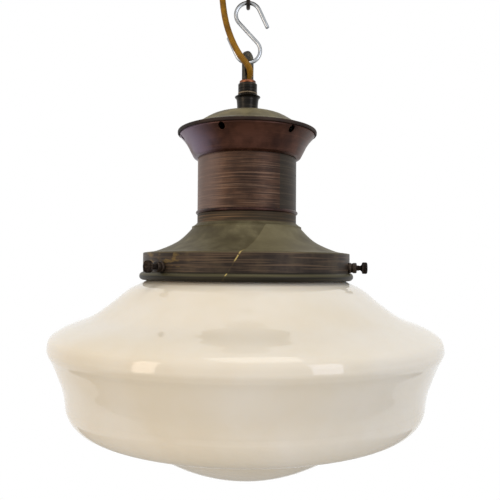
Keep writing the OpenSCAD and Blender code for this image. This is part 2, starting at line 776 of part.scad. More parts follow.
// Half-round bead ring between the neck and the gallery
module neck_bead() {
    color("maroon") rotate_extrude() union() {
        translate([neck_r - neck_t, bead_z - bead_h]) square([neck_t, bead_h]);
        intersection() {
            translate([bead_r - bead_h / 2, bead_z - bead_h / 2]) circle(d = bead_h, $fn = WIRE_FN);
            translate([neck_r - neck_t / 2, bead_z - bead_h]) square([bead_out + neck_t, bead_h]);
        }
    }
}

// Gallery: collar, hollow-curved shoulder, band and rolled foot, with three screw holes
spigot_r = (boss_bore_r + screw_boss_r) / 2;
module gallery() {
    corner_a = [neck_r + step_out, shoulder_z - step_h];
    corner_b = [band_r - edge_r, band_z];
    in_r = band_r - gallery_t;
    step = smooth([
        [neck_r, shoulder_z + gallery_t], [neck_r + step_out / 6, shoulder_z],
        [neck_r + step_out / 2, shoulder_z - step_h / 2], corner_a], 3);
    shoulder = smooth([
        corner_a, between(corner_a, corner_b, [0.03, 0.13]),
        between(corner_a, corner_b, [0.3, 0.57]),
        between(corner_a, corner_b, [0.715, 0.906]), corner_b], 5);
    outer = concat(
        [[neck_r, gallery_z]], step, [for (i = [1 : len(shoulder) - 1]) shoulder[i]]);
    color("olivedrab") difference() {
        union() {
            rotate_extrude() polygon(concat(
                [[in_r, roll_z], [band_r, roll_z], [band_r, band_z - edge_r]],
                [for (i = [len(outer) - 1 : -1 : 0]) outer[i]],
                [for (i = [0 : len(outer) - 2]) outer[i] + gallery_t * side(outer, i)],
                [[in_r, band_z - 1.5 * gallery_t]]));
            translate([0, 0, roll_z]) rotate_extrude()
                translate([roll_mid_r, 0]) circle(r = roll_r, $fn = SMALL_FN);
        }
        for (i = [0 : SCREWS - 1]) {
            radial(screw_turn + 360 / SCREWS * i, screw_z) translate([0, 0, shade_neck_r])
                cylinder(h = band_gap + 2 * roll_r, r = spigot_r, $fn = SMALL_FN);
        }
    }
}

// Threaded bosses riveted through the band
rivet_out = 0.4;
module screw_bosses() {
    seat_r = band_r + 2 * fit_gap;
    rivet_r = band_r - gallery_t - rivet_out;
    color("saddlebrown") for (i = [0 : SCREWS - 1]) {
        radial(screw_turn + 360 / SCREWS * i, screw_z) difference() {
            union() {
                translate([0, 0, seat_r]) cylinder(
                    h = band_r + screw_boss_l - seat_r, r = screw_boss_r, $fn = SMALL_FN);
                translate([0, 0, rivet_r])
                    cylinder(h = seat_r + edge_r - rivet_r, r = spigot_r, $fn = SMALL_FN);
            }
            translate([0, 0, shade_neck_r])
                cylinder(h = 4 * screw_boss_l, r = boss_bore_r, $fn = SMALL_FN);
        }
    }
}

// Thumbscrew with a plain shank, a turned waist and a flat round head
head_cone_h = 1.2;
head_edge = 0.7;
module thumbscrew(i) {
    shank_start = screw_tip_r + tip_l + fit_gap;
    bore_r = tip_pin_r + fit_gap;
    bore_end = screw_tip_r + tip_l + tip_pin_l + hang_gap;
    end = screw_rest_r + head_h;
    color("sienna") radial(screw_turn + 360 / SCREWS * i, screw_z) {
        rotate_extrude($fn = SMALL_FN) polygon([
            [bore_r, shank_start], [shank_r, shank_start],
            [shank_r, screw_rest_r - head_cone_h], [head_r - head_edge, screw_rest_r],
            [head_r, screw_rest_r + head_edge], [head_r, end - head_edge],
            [head_r - head_edge, end], [0, end], [0, bore_end], [bore_r, bore_end]]);
    }
}
module thumbscrew_1() {
    thumbscrew(0);
}
module thumbscrew_2() {
    thumbscrew(1);
}
module thumbscrew_3() {
    thumbscrew(2);
}

// Nylon tip that presses on the glass. Its pin stays in the screw, which turns round it.
module screw_tip(i) {
    tip_r = shank_r - 2 * fit_gap;
    shoulder_r = screw_tip_r + tip_l;
    color("ivory") radial(screw_turn + 360 / SCREWS * i, screw_z)
        rotate_extrude($fn = SMALL_FN) polygon([
            [0, screw_tip_r], [tip_r, screw_tip_r], [tip_r, shoulder_r],
            [tip_pin_r, shoulder_r], [tip_pin_r, shoulder_r + tip_pin_l],
            [0, shoulder_r + tip_pin_l]]);
}
module tip_1() {
    screw_tip(0);
}
module tip_2() {
    screw_tip(1);
}
module tip_3() {
    screw_tip(2);
}

// Blown opal glass: a lipped neck, a swept shoulder, a rounded rim, a skirt and a bowl
module opal_shade() {
    lip_r = shade_neck_r + shade_lip_out;
    lip_low_z = shade_lip_z - shade_lip_h;
    in_r = shade_neck_r - shade_t;
    // The slope under the lip stays over the tips of the screws
    slope_h = min(shade_lip_out, shade_lip_up - shank_r);
    turn = [shade_neck_r + shade_fillet_r, shade_neck_z + shade_fillet_r];
    start = [shade_neck_r, shade_neck_z];
    wide = [shade_r, shade_wide_z];
    foot = [shade_foot_r, shade_corner_z];
    corner = [shade_foot_r - shade_corner_r, shade_corner_z];
    under_z = shade_corner_z - shade_corner_r;
    bowl_arc_r = (pow(bowl_r, 2) + pow(bowl_h, 2)) / (2 * bowl_h);
    bowl_centre = [0, bowl_z - bowl_h + bowl_arc_r];
    side_line = smooth([
        turn + shade_fillet_r * [cos(250), sin(250)],
        between(start, wide, [0.12, 0.06]), between(start, wide, [0.22, 0.14]),
        between(start, wide, [0.39, 0.35]), between(start, wide, [0.585, 0.56]),
        between(start, wide, [0.83, 0.71]), between(start, wide, [0.97, 0.85]), wide,
        between(wide, foot, [0.08, 0.12]), between(wide, foot, [0.29, 0.25]),
        between(wide, foot, [0.59, 0.5]), between(wide, foot, [0.86, 0.75]), foot], 2);
    underside = smooth([
        corner + shade_corner_r * [cos(82), -sin(82)],
        [bowl_r + 17, under_z - bowl_drop * 0.25],
        [bowl_r + 6, under_z - bowl_drop * 0.6], [bowl_r, bowl_z]], 2);
    outer = concat(
        [[shade_neck_r, lip_low_z - slope_h]],
        arc(turn, shade_fillet_r, 180, 230, 3),
        side_line,
        arc(corner, shade_corner_r, -8, -74, 7),
        underside,
        arc(bowl_centre, bowl_arc_r, asin(bowl_r / bowl_arc_r) - 93, -90, 7));
    inner = sheet(outer, shade_t);
    last = len(inner) - 1;
    // The inside is as smooth as the outside, but takes every second point of it
    color("cornsilk") rotate_extrude() polygon(concat(
        outer, [for (i = [len(outer) : 2 : last - 1]) inner[i]], [inner[last]],
        [[in_r, shade_lip_z - edge_r], [in_r + edge_r, shade_lip_z]],
        [[lip_r - edge_r, shade_lip_z], [lip_r, shade_lip_z - edge_r]],
        [[lip_r, lip_low_z + edge_r], [lip_r - edge_r, lip_low_z]]));
}

// Domed brass top of the lampholder, screwed on the stem
holder_entry_t = 2.5;
module holder_top() {
    entry_r = stem_r + holder_entry_t;
    entry_z = stem_low_z + 3 * holder_t;
    dome = concat(
        smooth([
            [entry_r, entry_z], [entry_r + 3 * holder_t, entry_z - 1.5 * holder_t],
            [holder_r - 2.5 * holder_t, holder_body_z + 6 * holder_t],
            [holder_r, holder_body_z + holder_t]], 4),
        [[holder_r, holder_body_z]]);
    color("goldenrod") rotate_extrude() polygon(concat(
        [[stem_r + fit_gap, holder_z], [entry_r, holder_z]],
        sheet(dome, holder_t),
        [[stem_r + fit_gap, stem_low_z]]));
}

// Brass body of the lampholder, turned in at the bottom under the porcelain
holder_mouth_gap = 0.6;
module holder_body() {
    color("goldenrod") {
        ring(holder_body_z, holder_body_h, holder_r, holder_r - holder_t);
        ring(holder_low_z + holder_t, holder_t, holder_r - holder_t / 2,
            socket_r + holder_mouth_gap);
    }
}

// Brass ring nut round the lampholder
holder_ring_up = 8;
module holder_ring() {
    color("gold") ring(
        holder_low_z + holder_ring_up + holder_ring_h, holder_ring_h,
        holder_ring_r, holder_r + fit_gap);
}

// Porcelain insert with the socket for the bulb
module holder_insert() {
    color("white") difference() {
        ring(insert_z, insert_z - holder_low_z - holder_t, insert_r);
        translate([0, 0, holder_low_z - cut_past])
            cylinder(h = socket_top_z - holder_low_z + cut_past, r = socket_r);
    }
}

// Terminal screws on the porcelain, and the contact in the socket
terminal_x = 11;
terminal_r = 2.6;
terminal_h = 2.5;
contact_r = 3.2;
module holder_contacts() {
    color("gold") {
        for (x = [-1, 1]) {
            translate([x * terminal_x, 0, insert_z]) cylinder(h = terminal_h, r = terminal_r);
        }
        ring(socket_top_z, contact_h, contact_r);
    }
}

// Cores from the flex to the terminal screws
module holder_cores() {
    core_top_z = stem_low_z + flex_stop_up;
    core_x = flex_d / 4;
    color("saddlebrown") for (x = [-1, 1]) {
        swept(smooth([
            [x * core_x, 0, core_top_z], [x * core_x, 0, stem_low_z - core_d],
            [x * terminal_x / 2, 0, stem_low_z - 3 * core_d],
            [x * (terminal_x - core_d), 0, insert_z + 2 * terminal_h],
            [x * terminal_x, 0, insert_z + terminal_h]], 3), core_d);
    }
}

// Metal cap of the bulb, with the rolled rings of its thread
THREAD_TURNS = 6;
thread_deep = 0.8;
thread_in = 1.5;
bulb_shoulder = 2.4;
module bulb_cap() {
    thread_h = bulb_cap_h - 3 * thread_in;
    color("silver") rotate_extrude() polygon(concat(
        [[0, bulb_cap_z], [bulb_cap_r - bulb_shoulder, bulb_cap_z]],
        [for (k = [0 : 4 * THREAD_TURNS]) [
            bulb_cap_r - thread_deep / 2 - thread_deep / 2 * cos(90 * k),
            bulb_cap_z - thread_in - thread_h * k / (4 * THREAD_TURNS)]],
        [[bulb_cap_r - thread_deep / 2, bulb_glass_z], [0, bulb_glass_z]]));
}

// Black glass and centre contact of the bulb
module bulb_insulator() {
    color("black") union() {
        ring(bulb_top_z, bulb_button_h, bulb_button_r);
        translate([0, 0, bulb_cap_z]) cylinder(
            h = bulb_cone_h, r1 = bulb_cap_r - bulb_shoulder, r2 = bulb_button_r + fit_gap);
    }
}

// Frosted glass of the bulb: a drop that narrows to the cap
bulb_t = 1;
module bulb_glass() {
    neck = bulb_cap_r - thread_deep;
    wide_z = bulb_glass_z - bulb_glass_h + bulb_r;
    top = [neck, bulb_glass_z - bulb_t];
    wide = [bulb_r, wide_z];
    outer = concat(
        [[neck, bulb_glass_z]],
        smooth([
            top, between(top, wide, [0.05, 0.12]), between(top, wide, [0.33, 0.42]),
            between(top, wide, [0.8, 0.7]), wide], 4),
        arc([0, wide_z], bulb_r, -6, -90, 14));
    color("whitesmoke") rotate_extrude() polygon(sheet(outer, bulb_t));
}

back_plate();
ceiling_rose();
rose_hook();
rose_nut();
flex_bush();
terminal_block();
terminal_inserts();
earth_screw();
flex_in_rose();
rose_cores();
s_hook();
flex_upper();
flex_lower();
flex_in_stem();
top_loop();
copper_ring();
collar();
cord_grip();
brass_washer();
lock_nut();
stem();
cap();
cap_nut();
vent_flare();
carrier_plate();
carrier_nuts();
neck_tube();
neck_bead();
gallery();
screw_bosses();
thumbscrew_1();
thumbscrew_2();
thumbscrew_3();
tip_1();
tip_2();
tip_3();
opal_shade();
holder_top();
holder_body();
holder_ring();
holder_insert();
holder_contacts();
holder_cores();
bulb_cap();
bulb_insulator();
bulb_glass();
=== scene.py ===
import math

import bmesh
import bpy
from mathutils import Matrix, Vector


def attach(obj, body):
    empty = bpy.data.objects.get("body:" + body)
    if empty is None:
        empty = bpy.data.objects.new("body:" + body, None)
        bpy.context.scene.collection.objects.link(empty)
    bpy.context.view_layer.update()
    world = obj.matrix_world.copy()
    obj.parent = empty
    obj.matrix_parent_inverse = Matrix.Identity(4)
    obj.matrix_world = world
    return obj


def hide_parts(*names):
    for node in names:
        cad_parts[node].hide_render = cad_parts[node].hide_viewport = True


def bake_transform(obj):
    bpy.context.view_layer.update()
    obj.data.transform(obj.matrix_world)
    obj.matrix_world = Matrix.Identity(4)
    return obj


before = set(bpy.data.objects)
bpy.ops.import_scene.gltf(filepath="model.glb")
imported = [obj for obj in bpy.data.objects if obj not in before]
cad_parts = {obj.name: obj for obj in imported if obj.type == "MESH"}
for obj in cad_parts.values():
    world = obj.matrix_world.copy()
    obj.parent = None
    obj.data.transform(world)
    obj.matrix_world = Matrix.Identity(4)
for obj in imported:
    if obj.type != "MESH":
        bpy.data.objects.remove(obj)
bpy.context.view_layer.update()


# Camera: it stands at the height of the gallery's screws, half a metre from the lamp's axis.
# It looks up a little and leans a little, as the hand-held photo does.
PHOTO_PX = 500
FOCAL_PX = 610
SENSOR_MM = 36
CAMERA_AT = (0, -0.493, -0.274)
CAMERA_TURN, CAMERA_TILT, CAMERA_LEAN = -0.33, 91.69, 0.4
camera = bpy.data.objects.new("camera", bpy.data.cameras.new("camera"))
camera.data.sensor_width = SENSOR_MM
camera.data.lens = FOCAL_PX / PHOTO_PX * SENSOR_MM
camera.data.clip_start = 0.01
camera.matrix_world = (
    Matrix.Translation(CAMERA_AT)
    @ Matrix.Rotation(math.radians(CAMERA_TURN), 4, "Z")
    @ Matrix.Rotation(math.radians(CAMERA_TILT), 4, "X")
    @ Matrix.Rotation(math.radians(CAMERA_LEAN), 4, "Z"))
bpy.context.scene.collection.objects.link(camera)
bpy.context.scene.camera = camera
bpy.context.scene.view_settings.view_transform = "Standard"


# Flex: a round mains flex in an old gold rayon braid, drawn over three cores. It leaves the
# rubber bush of the rose, hangs slack beside the S hook and turns down into the coupler.
MM = 0.001
FLEX_DIAMETER = 5 * MM
FLEX_SIDES = 24
FLEX_ROUTE = [
    (-22, 0, -28.5), (-22, -0.3, -36), (-21.7, -1.4, -46), (-20.9, -3, -56),
    (-19.7, -4.6, -66), (-18, -5.9, -75), (-15.8, -6.8, -83), (-12.8, -7.6, -91),
    (-9.5, -8.1, -98), (-6.5, -8.4, -103), (-3.4, -8.4, -107.2), (-0.5, -7.8, -110.6),
    (1.4, -5.8, -113.6), (1.8, -3, -116.5), (0.9, -1.1, -119.2), (0.2, -0.3, -122),
    (0, 0, -126.4)]
FLEX_MIDDLE = 5
FLEX_STEPS = 6
BRAID_PITCH_MM = 4.2
BRAID_STRANDS = 12


def smooth_line(points, steps):
    """Points of a smooth curve that passes through every given point."""
    points = [Vector(p) for p in points]
    ends = [2 * points[0] - points[1]] + points + [2 * points[-1] - points[-2]]
    line = []
    for i in range(len(points) - 1):
        a, b, c, d = ends[i:i + 4]
        for k in range(steps):
            t = k / steps
            line.append(0.5 * (
                2 * b + (c - a) * t + (2 * a - 5 * b + 4 * c - d) * t ** 2
                + (3 * b - a - 3 * c + d) * t ** 3))
    return line + [points[-1]]


def line_length(line):
    return sum((b - a).length for a, b in zip(line, line[1:]))


def tube(name, line, diameter, start_length):
    """A closed round tube along a line that starts and ends pointing down, with UVs:
    U once round and V in metres along the whole flex."""
    rings = []
    for i, point in enumerate(line):
        inner = 0 < i < len(line) - 1
        along = (line[i + 1] - line[i - 1]).normalized() if inner else Vector((0, 0, -1))
        flat = along.cross(Vector((0, 1, 0.001))).normalized()
        up = flat.cross(along)
        rings.append([
            point + diameter / 2 * (math.cos(a) * flat + math.sin(a) * up)
            for a in (2 * math.pi * k / FLEX_SIDES for k in range(FLEX_SIDES))])
    mesh = bpy.data.meshes.new(name)
    faces = []
    for i in range(len(line) - 1):
        for k in range(FLEX_SIDES):
            n = (k + 1) % FLEX_SIDES
            faces.append((
                i * FLEX_SIDES + k, i * FLEX_SIDES + n,
                (i + 1) * FLEX_SIDES + n, (i + 1) * FLEX_SIDES + k))
    faces.append(tuple(reversed(range(FLEX_SIDES))))
    faces.append(tuple((len(line) - 1) * FLEX_SIDES + k for k in range(FLEX_SIDES)))
    mesh.from_pydata([p for ring in rings for p in ring], [], faces)
    uv = mesh.uv_layers.new(name="UVMap")
    lengths = [start_length]
    for a, b in zip(line, line[1:]):
        lengths.append(lengths[-1] + (b - a).length)
    for face in mesh.polygons:
        seam = {mesh.loops[j].vertex_index % FLEX_SIDES for j in face.loop_indices} == {
            0, FLEX_SIDES - 1}
        for j in face.loop_indices:
            i, k = divmod(mesh.loops[j].vertex_index, FLEX_SIDES)
            u = 1.0 if seam and k == 0 else k / FLEX_SIDES
            uv.data[j].uv = (u, lengths[i])
    for face in mesh.polygons[:-2]:
        face.use_smooth = True
    obj = bpy.data.objects.new(name, mesh)
    bpy.context.scene.collection.objects.link(obj)
    bm = bmesh.new()
    bm.from_mesh(mesh)
    bmesh.ops.recalc_face_normals(bm, faces=bm.faces)
    bm.to_mesh(mesh)
    bm.free()
    return obj


def colour(code):
    """An sRGB hex colour as linear values."""
    parts = [int(code[i:i + 2], 16) / 255 for i in (1, 3, 5)]
    return [p / 12.92 if p <= 0.04045 else ((p + 0.055) / 1.055) ** 2.4 for p in parts] + [1.0]


def set_inputs(tree, node, inputs):
    """Sets a node's inputs, in order or by name, to values or by links to sockets."""
    for key, value in inputs.items() if isinstance(inputs, dict) else enumerate(inputs):
        if isinstance(value, bpy.types.NodeSocket):
            tree.links.new(value, node.inputs[key])
        else:
            node.inputs[key].default_value = value


def add_node(tree, kind, inputs=(), stops=(), output=0, **settings):
    """Adds a shader node with its settings, its inputs and, on a colour ramp, its stops of
    (position, hex colour). It returns one of the node's outputs, ready to link."""
    node = tree.nodes.new("ShaderNode" + kind)
    for key, value in settings.items():
        setattr(node, key, value)
    if stops:
        elements = node.color_ramp.elements
        while len(elements) < len(stops):
            elements.new(0.5)
        for element, (position, code) in zip(elements, stops):
            element.position = position
            element.color = colour(code)
    set_inputs(tree, node, inputs)
    return node.outputs[output] if len(node.outputs) else None


def new_material(name):
    material = bpy.data.materials.new(name)
    material.use_nodes = True
    tree = material.node_tree
    tree.nodes.clear()
    surface = add_node(tree, "BsdfPrincipled")
    add_node(tree, "OutputMaterial", {"Surface": surface}, target="ALL")
    return material, tree, surface.node


def finish_with(obj, material):
    obj.data.materials.clear()
    obj.data.materials.append(material)


# Old gold rayon braid: twelve strands that cross over and under. The thread is drawn at
# about twice its real width, so that the crossing shows.
braid, tree, shader = new_material("old_gold_rayon_braid")
split = add_node(tree, "SeparateXYZ", [add_node(tree, "UVMap", uv_map="UVMap")]).node
round_angle = add_node(
    tree, "Math", (split.outputs["X"], math.pi * BRAID_STRANDS), operation="MULTIPLY")
along_angle = add_node(
    tree, "Math", (split.outputs["Y"], math.pi * BRAID_STRANDS / (BRAID_PITCH_MM * MM)),
    operation="MULTIPLY")
left = add_node(
    tree, "Math", [add_node(tree, "Math", (round_angle, along_angle), operation="ADD")],
    operation="SINE")
right = add_node(
    tree, "Math", [add_node(tree, "Math", (round_angle, along_angle), operation="SUBTRACT")],
    operation="SINE")
strands = add_node(tree, "Math", (left, right), operation="MULTIPLY")
soil = add_node(tree, "TexNoise", {
    "Vector": add_node(tree, "TexCoord", output="Object"), "Scale": 1 / (7 * MM), "Detail": 4})
faint = add_node(tree, "Math", (strands, 0.22), operation="MULTIPLY")
thread_tone = add_node(tree, "Math", (faint, soil), operation="ADD")
set_inputs(tree, shader, {
    "Base Color": add_node(
        tree, "ValToRGB", [thread_tone], stops=((0.2, "#63420A"), (0.85, "#AD7C14"))),
    "Normal": add_node(
        tree, "Bump", {"Height": strands, "Strength": 0.35, "Distance": 0.15 * MM}),
    "Roughness": 0.55, "Specular IOR Level": 0.2,
    "Sheen Weight": 0.04, "Sheen Roughness": 0.4})

flex_line = [p * MM for p in smooth_line(FLEX_ROUTE, FLEX_STEPS)]
flex_parts = (
    ("flex_upper", "ceiling", "s_hook", flex_line[:FLEX_STEPS * FLEX_MIDDLE + 1]),
    ("flex_lower", "s_hook", "lamp", flex_line[FLEX_STEPS * FLEX_MIDDLE:]))
done = 0.0
for node, body, next_body, part in flex_parts:
    piece = tube("covered_" + node, part, FLEX_DIAMETER, done)
    finish_with(piece, braid)
    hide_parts(node)
    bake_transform(piece)
    done += line_length(part)


# Studio: a pale floor well under the lamp, a white surround and three soft lights. The
# white shows to the camera and in reflections only, and lights nothing.
FLOOR_Z = -1.1
ROOM_STRENGTH = 0.54
bpy.ops.object.select_all(action="DESELECT")
bpy.ops.mesh.primitive_plane_add(size=2.4, location=(0, 0, FLOOR_Z))
floor = bpy.context.object
floor.name = "studio_floor"
paint, tree, shader = new_material("pale_floor_paint")
shader.inputs["Base Color"].default_value = colour("#D9D8D5")
shader.inputs["Roughness"].default_value = 0.9
finish_with(floor, paint)

world = bpy.data.worlds.new("studio")
bpy.context.scene.world = world
world.use_nodes = True
tree = world.node_tree
tree.nodes.clear()
path = add_node(tree, "LightPath").node
seen = add_node(
    tree, "Math", (path.outputs["Is Camera Ray"], path.outputs["Is Glossy Ray"]),
    operation="MAXIMUM")
seen = add_node(tree, "Math", (seen, path.outputs["Is Transmission Ray"]), operation="MAXIMUM")
room = add_node(
    tree, "Background", {"Color": colour("#F4F1EC"), "Strength": ROOM_STRENGTH})
surround = add_node(tree, "Background", {"Color": colour("#FFFFFF"), "Strength": 1.0})
mixed = add_node(tree, "MixShader", (seen, room, surround))
add_node(tree, "OutputWorld", {"Surface": mixed})


def soft_light(name, place, target, size, watts, code):
    lamp = bpy.data.objects.new(name, bpy.data.lights.new(name, "AREA"))
    lamp.data.shape = "RECTANGLE"
    lamp.data.size, lamp.data.size_y = size
    lamp.data.energy = watts
    lamp.data.color = colour(code)[:3]
    lamp.location = place
    lamp.rotation_euler = (Vector(target) - Vector(place)).to_track_quat("-Z", "Y").to_euler()
    bpy.context.scene.collection.objects.link(lamp)


soft_light("window_left", (-1.2, -0.95, -0.1), (0, 0, -0.3), (0.35, 1.2), 7.4, "#FFEBD6")
soft_light("window_right", (1.1, -1.25, 0.0), (0, 0, -0.3), (0.5, 1.1), 7.8, "#ECEFFF")
soft_light("ceiling_panel", (0.1, -0.4, 1.0), (0, 0, -0.2), (0.8, 0.8), 5.5, "#FFFCF8")


# Ceiling rose: a spun brass cup over a zinc-plated steel plate, gone brown. A knurled brass
# nut on the hook's shank holds it up. The photo ends below it, so it is of the usual kind.
LATHE_STEPS, SMALL_STEPS = 128, 96
ROSE_R, ROSE_H, ROSE_FOOT, ROSE_FLAT_R, ROSE_T = 48, 27, 3, 33, 1.2
ROSE_HOLE_R = 2.3


def arc(centre, radius, start, end, steps=10):
    """Points of an arc from one angle to another, in degrees."""
    angles = [math.radians(start + (end - start) * k / steps) for k in range(steps + 1)]
    return [(centre[0] + radius * math.cos(a), centre[1] + radius * math.sin(a)) for a in angles]


def eased(corners, steps=4):
    """An outline from corners (radius, height, rounding), with each corner rounded."""
    points = []
    for i, (x, z, rounding) in enumerate(corners):
        here = Vector((x, z))
        if rounding == 0:
            points.append((x, z))
            continue
        back = Vector(corners[i - 1][:2]) - here
        ahead = Vector(corners[(i + 1) % len(corners)][:2]) - here
        reach = min(
            rounding / math.tan(back.angle(ahead) / 2), 0.45 * back.length, 0.45 * ahead.length)
        start, end = here + back.normalized() * reach, here + ahead.normalized() * reach
        for k in range(steps + 1):
            t = k / steps
            points.append(tuple((1 - t) ** 2 * start + 2 * t * (1 - t) * here + t * t * end))
    return points


def sheet_outline(line, thickness):
    """A closed outline: a line, and the same line moved to its right by the thickness."""
    inner = []
    for i, point in enumerate(line):
        along = (Vector(line[min(i + 1, len(line) - 1)])
                 - Vector(line[max(i - 1, 0)])).normalized()
        inner.append((
            max(point[0] + thickness * along.y, 0), point[1] - thickness * along.x))
    return list(line) + inner[::-1]


def place_in_mesh():
    """Leaves the picked object at the origin, with its place and turn in its mesh."""
    bpy.ops.object.transform_apply(location=True, rotation=True, scale=True)


def trace(name, outline, y=0):
    """Starts a piece as a closed line of (x, z) points in mm, and stays in edit mode."""
    bpy.ops.object.select_all(action="DESELECT")
    first = (outline[0][0] * MM, y * MM, outline[0][1] * MM)
    bpy.ops.mesh.primitive_plane_add(size=MM, location=first)
    piece = bpy.context.object
    piece.name = piece.data.name = name
    place_in_mesh()
    bpy.ops.object.mode_set(mode="EDIT")
    bpy.ops.mesh.select_mode(type="VERT")
    bpy.ops.mesh.select_all(action="SELECT")
    bpy.ops.mesh.merge(type="CENTER")
    for (x0, z0), (x1, z1) in zip(outline, outline[1:] + outline[:1]):
        bpy.ops.mesh.extrude_region_move(
            TRANSFORM_OT_translate={"value": ((x1 - x0) * MM, 0, (z1 - z0) * MM)})
    bpy.ops.mesh.select_all(action="SELECT")
    bpy.ops.mesh.remove_doubles(threshold=0.001 * MM)
    bpy.ops.mesh.select_all(action="SELECT")
    return piece


def turned(name, outline, angle=35, steps=LATHE_STEPS):
    """A piece turned on a lathe round the light's axis, from a closed outline of (radius,
    height) points in mm. It rides on nothing yet."""
    piece = trace(name, outline)
    bpy.ops.mesh.spin(steps=steps, angle=2 * math.pi, center=(0, 0, 0), axis=(0, 0, 1))
    bpy.ops.mesh.select_all(action="SELECT")
    bpy.ops.mesh.remove_doubles(threshold=0.002 * MM)
    bpy.ops.mesh.delete_loose()
    bpy.ops.mesh.select_all(action="SELECT")
    bpy.ops.mesh.normals_make_consistent(inside=False)
    bpy.ops.object.mode_set(mode="OBJECT")
    bpy.ops.object.shade_smooth_by_angle(angle=math.radians(angle))
    return piece


def fit(piece, body, node, material):
    """Gives a finished piece its material, and sets it on its body in place of a node."""
    finish_with(piece, material)
    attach(piece, body)
    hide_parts(node)


def grain(tree, size, stretch=(1, 1, 1), detail=4.0):
    """An uneven pattern on Object coordinates whose grain is about size mm, longer along an
    axis by the stretch."""
    place = add_node(tree, "TexCoord", output="Object")
    scaled = add_node(tree, "Mapping", {
        "Vector": place, "Scale": tuple(1 / (size * MM * s) for s in stretch)})
    return add_node(tree, "TexNoise", {"Vector": scaled, "Scale": 1.0, "Detail": detail})


def rubbed_to(tree, tone, where, share, code):
    """Mixes a second colour into a tone, by the share given where the pattern is 1."""
    through = add_node(tree, "Math", (where, share), operation="MULTIPLY")
    return add_node(
        tree, "Mix", {0: through, 6: tone, 7: colour(code)}, data_type="RGBA", output=2)


# The oxide mirrors less of the white room than clean lacquer, whose value would be 0.5
OXIDE_SHINE = 0.2


def patina(name, cloud, line, line_share, metallic, roughness, line_mm=0.7, depth_mm=0.03):
    """Old spun copper or brass under brown oxide: soft clouds of three tones about 14 mm
    across, and rubbed turning lines that go round the piece. The real lines are 0.2 to 0.4 mm
    apart and are drawn at about 0.7 mm, so that they show."""
    material, tree, shader = new_material(name)
    clouds = grain(tree, 14, detail=6.0)
    tone = add_node(tree, "ValToRGB", [clouds], stops=tuple(zip((0.36, 0.5, 0.64), cloud)))
    lines = grain(tree, line_mm, stretch=(60, 60, 1), detail=3.0)
    crests = add_node(tree, "MapRange", (lines, 0.52, 0.66), interpolation_type="SMOOTHSTEP")
    tone = rubbed_to(tree, tone, crests, line_share, line)
    fine = add_node(
        tree, "Math", (grain(tree, 0.8, detail=2.0), 0.4), operation="MULTIPLY")
    height = add_node(tree, "Math", (lines, fine), operation="ADD")
    set_inputs(tree, shader, {
        "Base Color": tone,
        "Normal": add_node(tree, "Bump", {
            "Height": height, "Strength": 0.6, "Distance": depth_mm * MM}),
        "Roughness": add_node(tree, "MapRange", {
            "Value": clouds, "From Min": 0.3, "From Max": 0.7,
            "To Min": roughness - 0.07, "To Max": roughness + 0.09}),
        "Metallic": metallic, "Specular IOR Level": OXIDE_SHINE})
    return material, tree, shader, tone


def even_finish(name, clouds, stops, inputs, relief=None):
    """A finish of one tone that drifts a little with a grain. Its relief is another grain,
    with the strength and the depth in mm."""
    material, tree, shader = new_material(name)
    set_inputs(tree, shader, {
        "Base Color": add_node(tree, "ValToRGB", [grain(tree, **clouds)], stops=stops),
        **inputs})
    if relief:
        bumps, strength, depth_mm = relief
        set_inputs(tree, shader, {"Normal": add_node(tree, "Bump", {
            "Height": grain(tree, **bumps), "Strength": strength, "Distance": depth_mm * MM})})
    return material


# Brown oxide over brass: clouds of brown, with turning lines that glint a little
rose_metal = patina(
    "brown_patinated_spun_brass", ("#5A4A33", "#6F5C3C", "#8A7447"), "#9A8250", 0.35, 0.6,
    0.42)[0]
wall_r = ROSE_R - ROSE_FOOT
rose_corner = wall_r - ROSE_FLAT_R
rose_side = eased([
    (ROSE_R, 0, 0), (ROSE_R, -2, 0.7), (wall_r, -4, 1.2),
    (wall_r, rose_corner - ROSE_H, 0)], 4)
rose_side += arc((ROSE_FLAT_R, rose_corner - ROSE_H), rose_corner, 0, -90, 16)[1:]
rose_side.append((ROSE_HOLE_R, -ROSE_H))
rose_inside = [(ROSE_HOLE_R, ROSE_T - ROSE_H)]
rose_inside += arc((ROSE_FLAT_R, rose_corner - ROSE_H), rose_corner - ROSE_T, -90, 0, 16)
rose_inside.append((wall_r - ROSE_T, 0))
rose = turned("spun_ceiling_rose", rose_side + rose_inside)
fit(rose, "ceiling", "ceiling_rose", rose_metal)

# Bright turned brass: smooth, a little dulled by air, with marks of the lathe tool
bright_brass = even_finish(
    "turned_brass", {"size": 5, "detail": 5.0}, ((0.3, "#A98A45"), (0.7, "#C4A25A")),
    {"Metallic": 1.0, "Roughness": 0.3},
    ({"size": 0.5, "stretch": (20, 20, 1), "detail": 2.0}, 0.4, 0.01))

ROSE_NUT_R, ROSE_NUT_BORE_R, ROSE_NUT_END_R, KNURL_DEGREES = 6.5, 2.08, 5, 3.75
nut_low = -ROSE_H - 6
nut_shoulder = nut_low + 1.5
rose_nut = turned("knurled_rose_nut", eased([
    (ROSE_NUT_BORE_R, -ROSE_H, 0.2), (ROSE_NUT_R, -ROSE_H, 0.5),
    (ROSE_NUT_R, nut_shoulder, 0.5), (ROSE_NUT_END_R, nut_shoulder, 0.2),
    (ROSE_NUT_END_R, nut_low, 0.5), (ROSE_NUT_BORE_R, nut_low, 0.2)]), steps=SMALL_STEPS)
bpy.ops.object.mode_set(mode="EDIT")
bpy.ops.mesh.select_all(action="DESELECT")
bpy.ops.object.mode_set(mode="OBJECT")
for face in rose_nut.data.polygons:
    side = Vector((face.center.x, face.center.y))
    upright = abs(face.normal.z) < 0.2 and side.length > (ROSE_NUT_R - 0.1) * MM
    turn = math.degrees(math.atan2(side.y, side.x)) / KNURL_DEGREES
    face.select = upright and int(round(turn)) % 2 == 0
bpy.ops.object.mode_set(mode="EDIT")
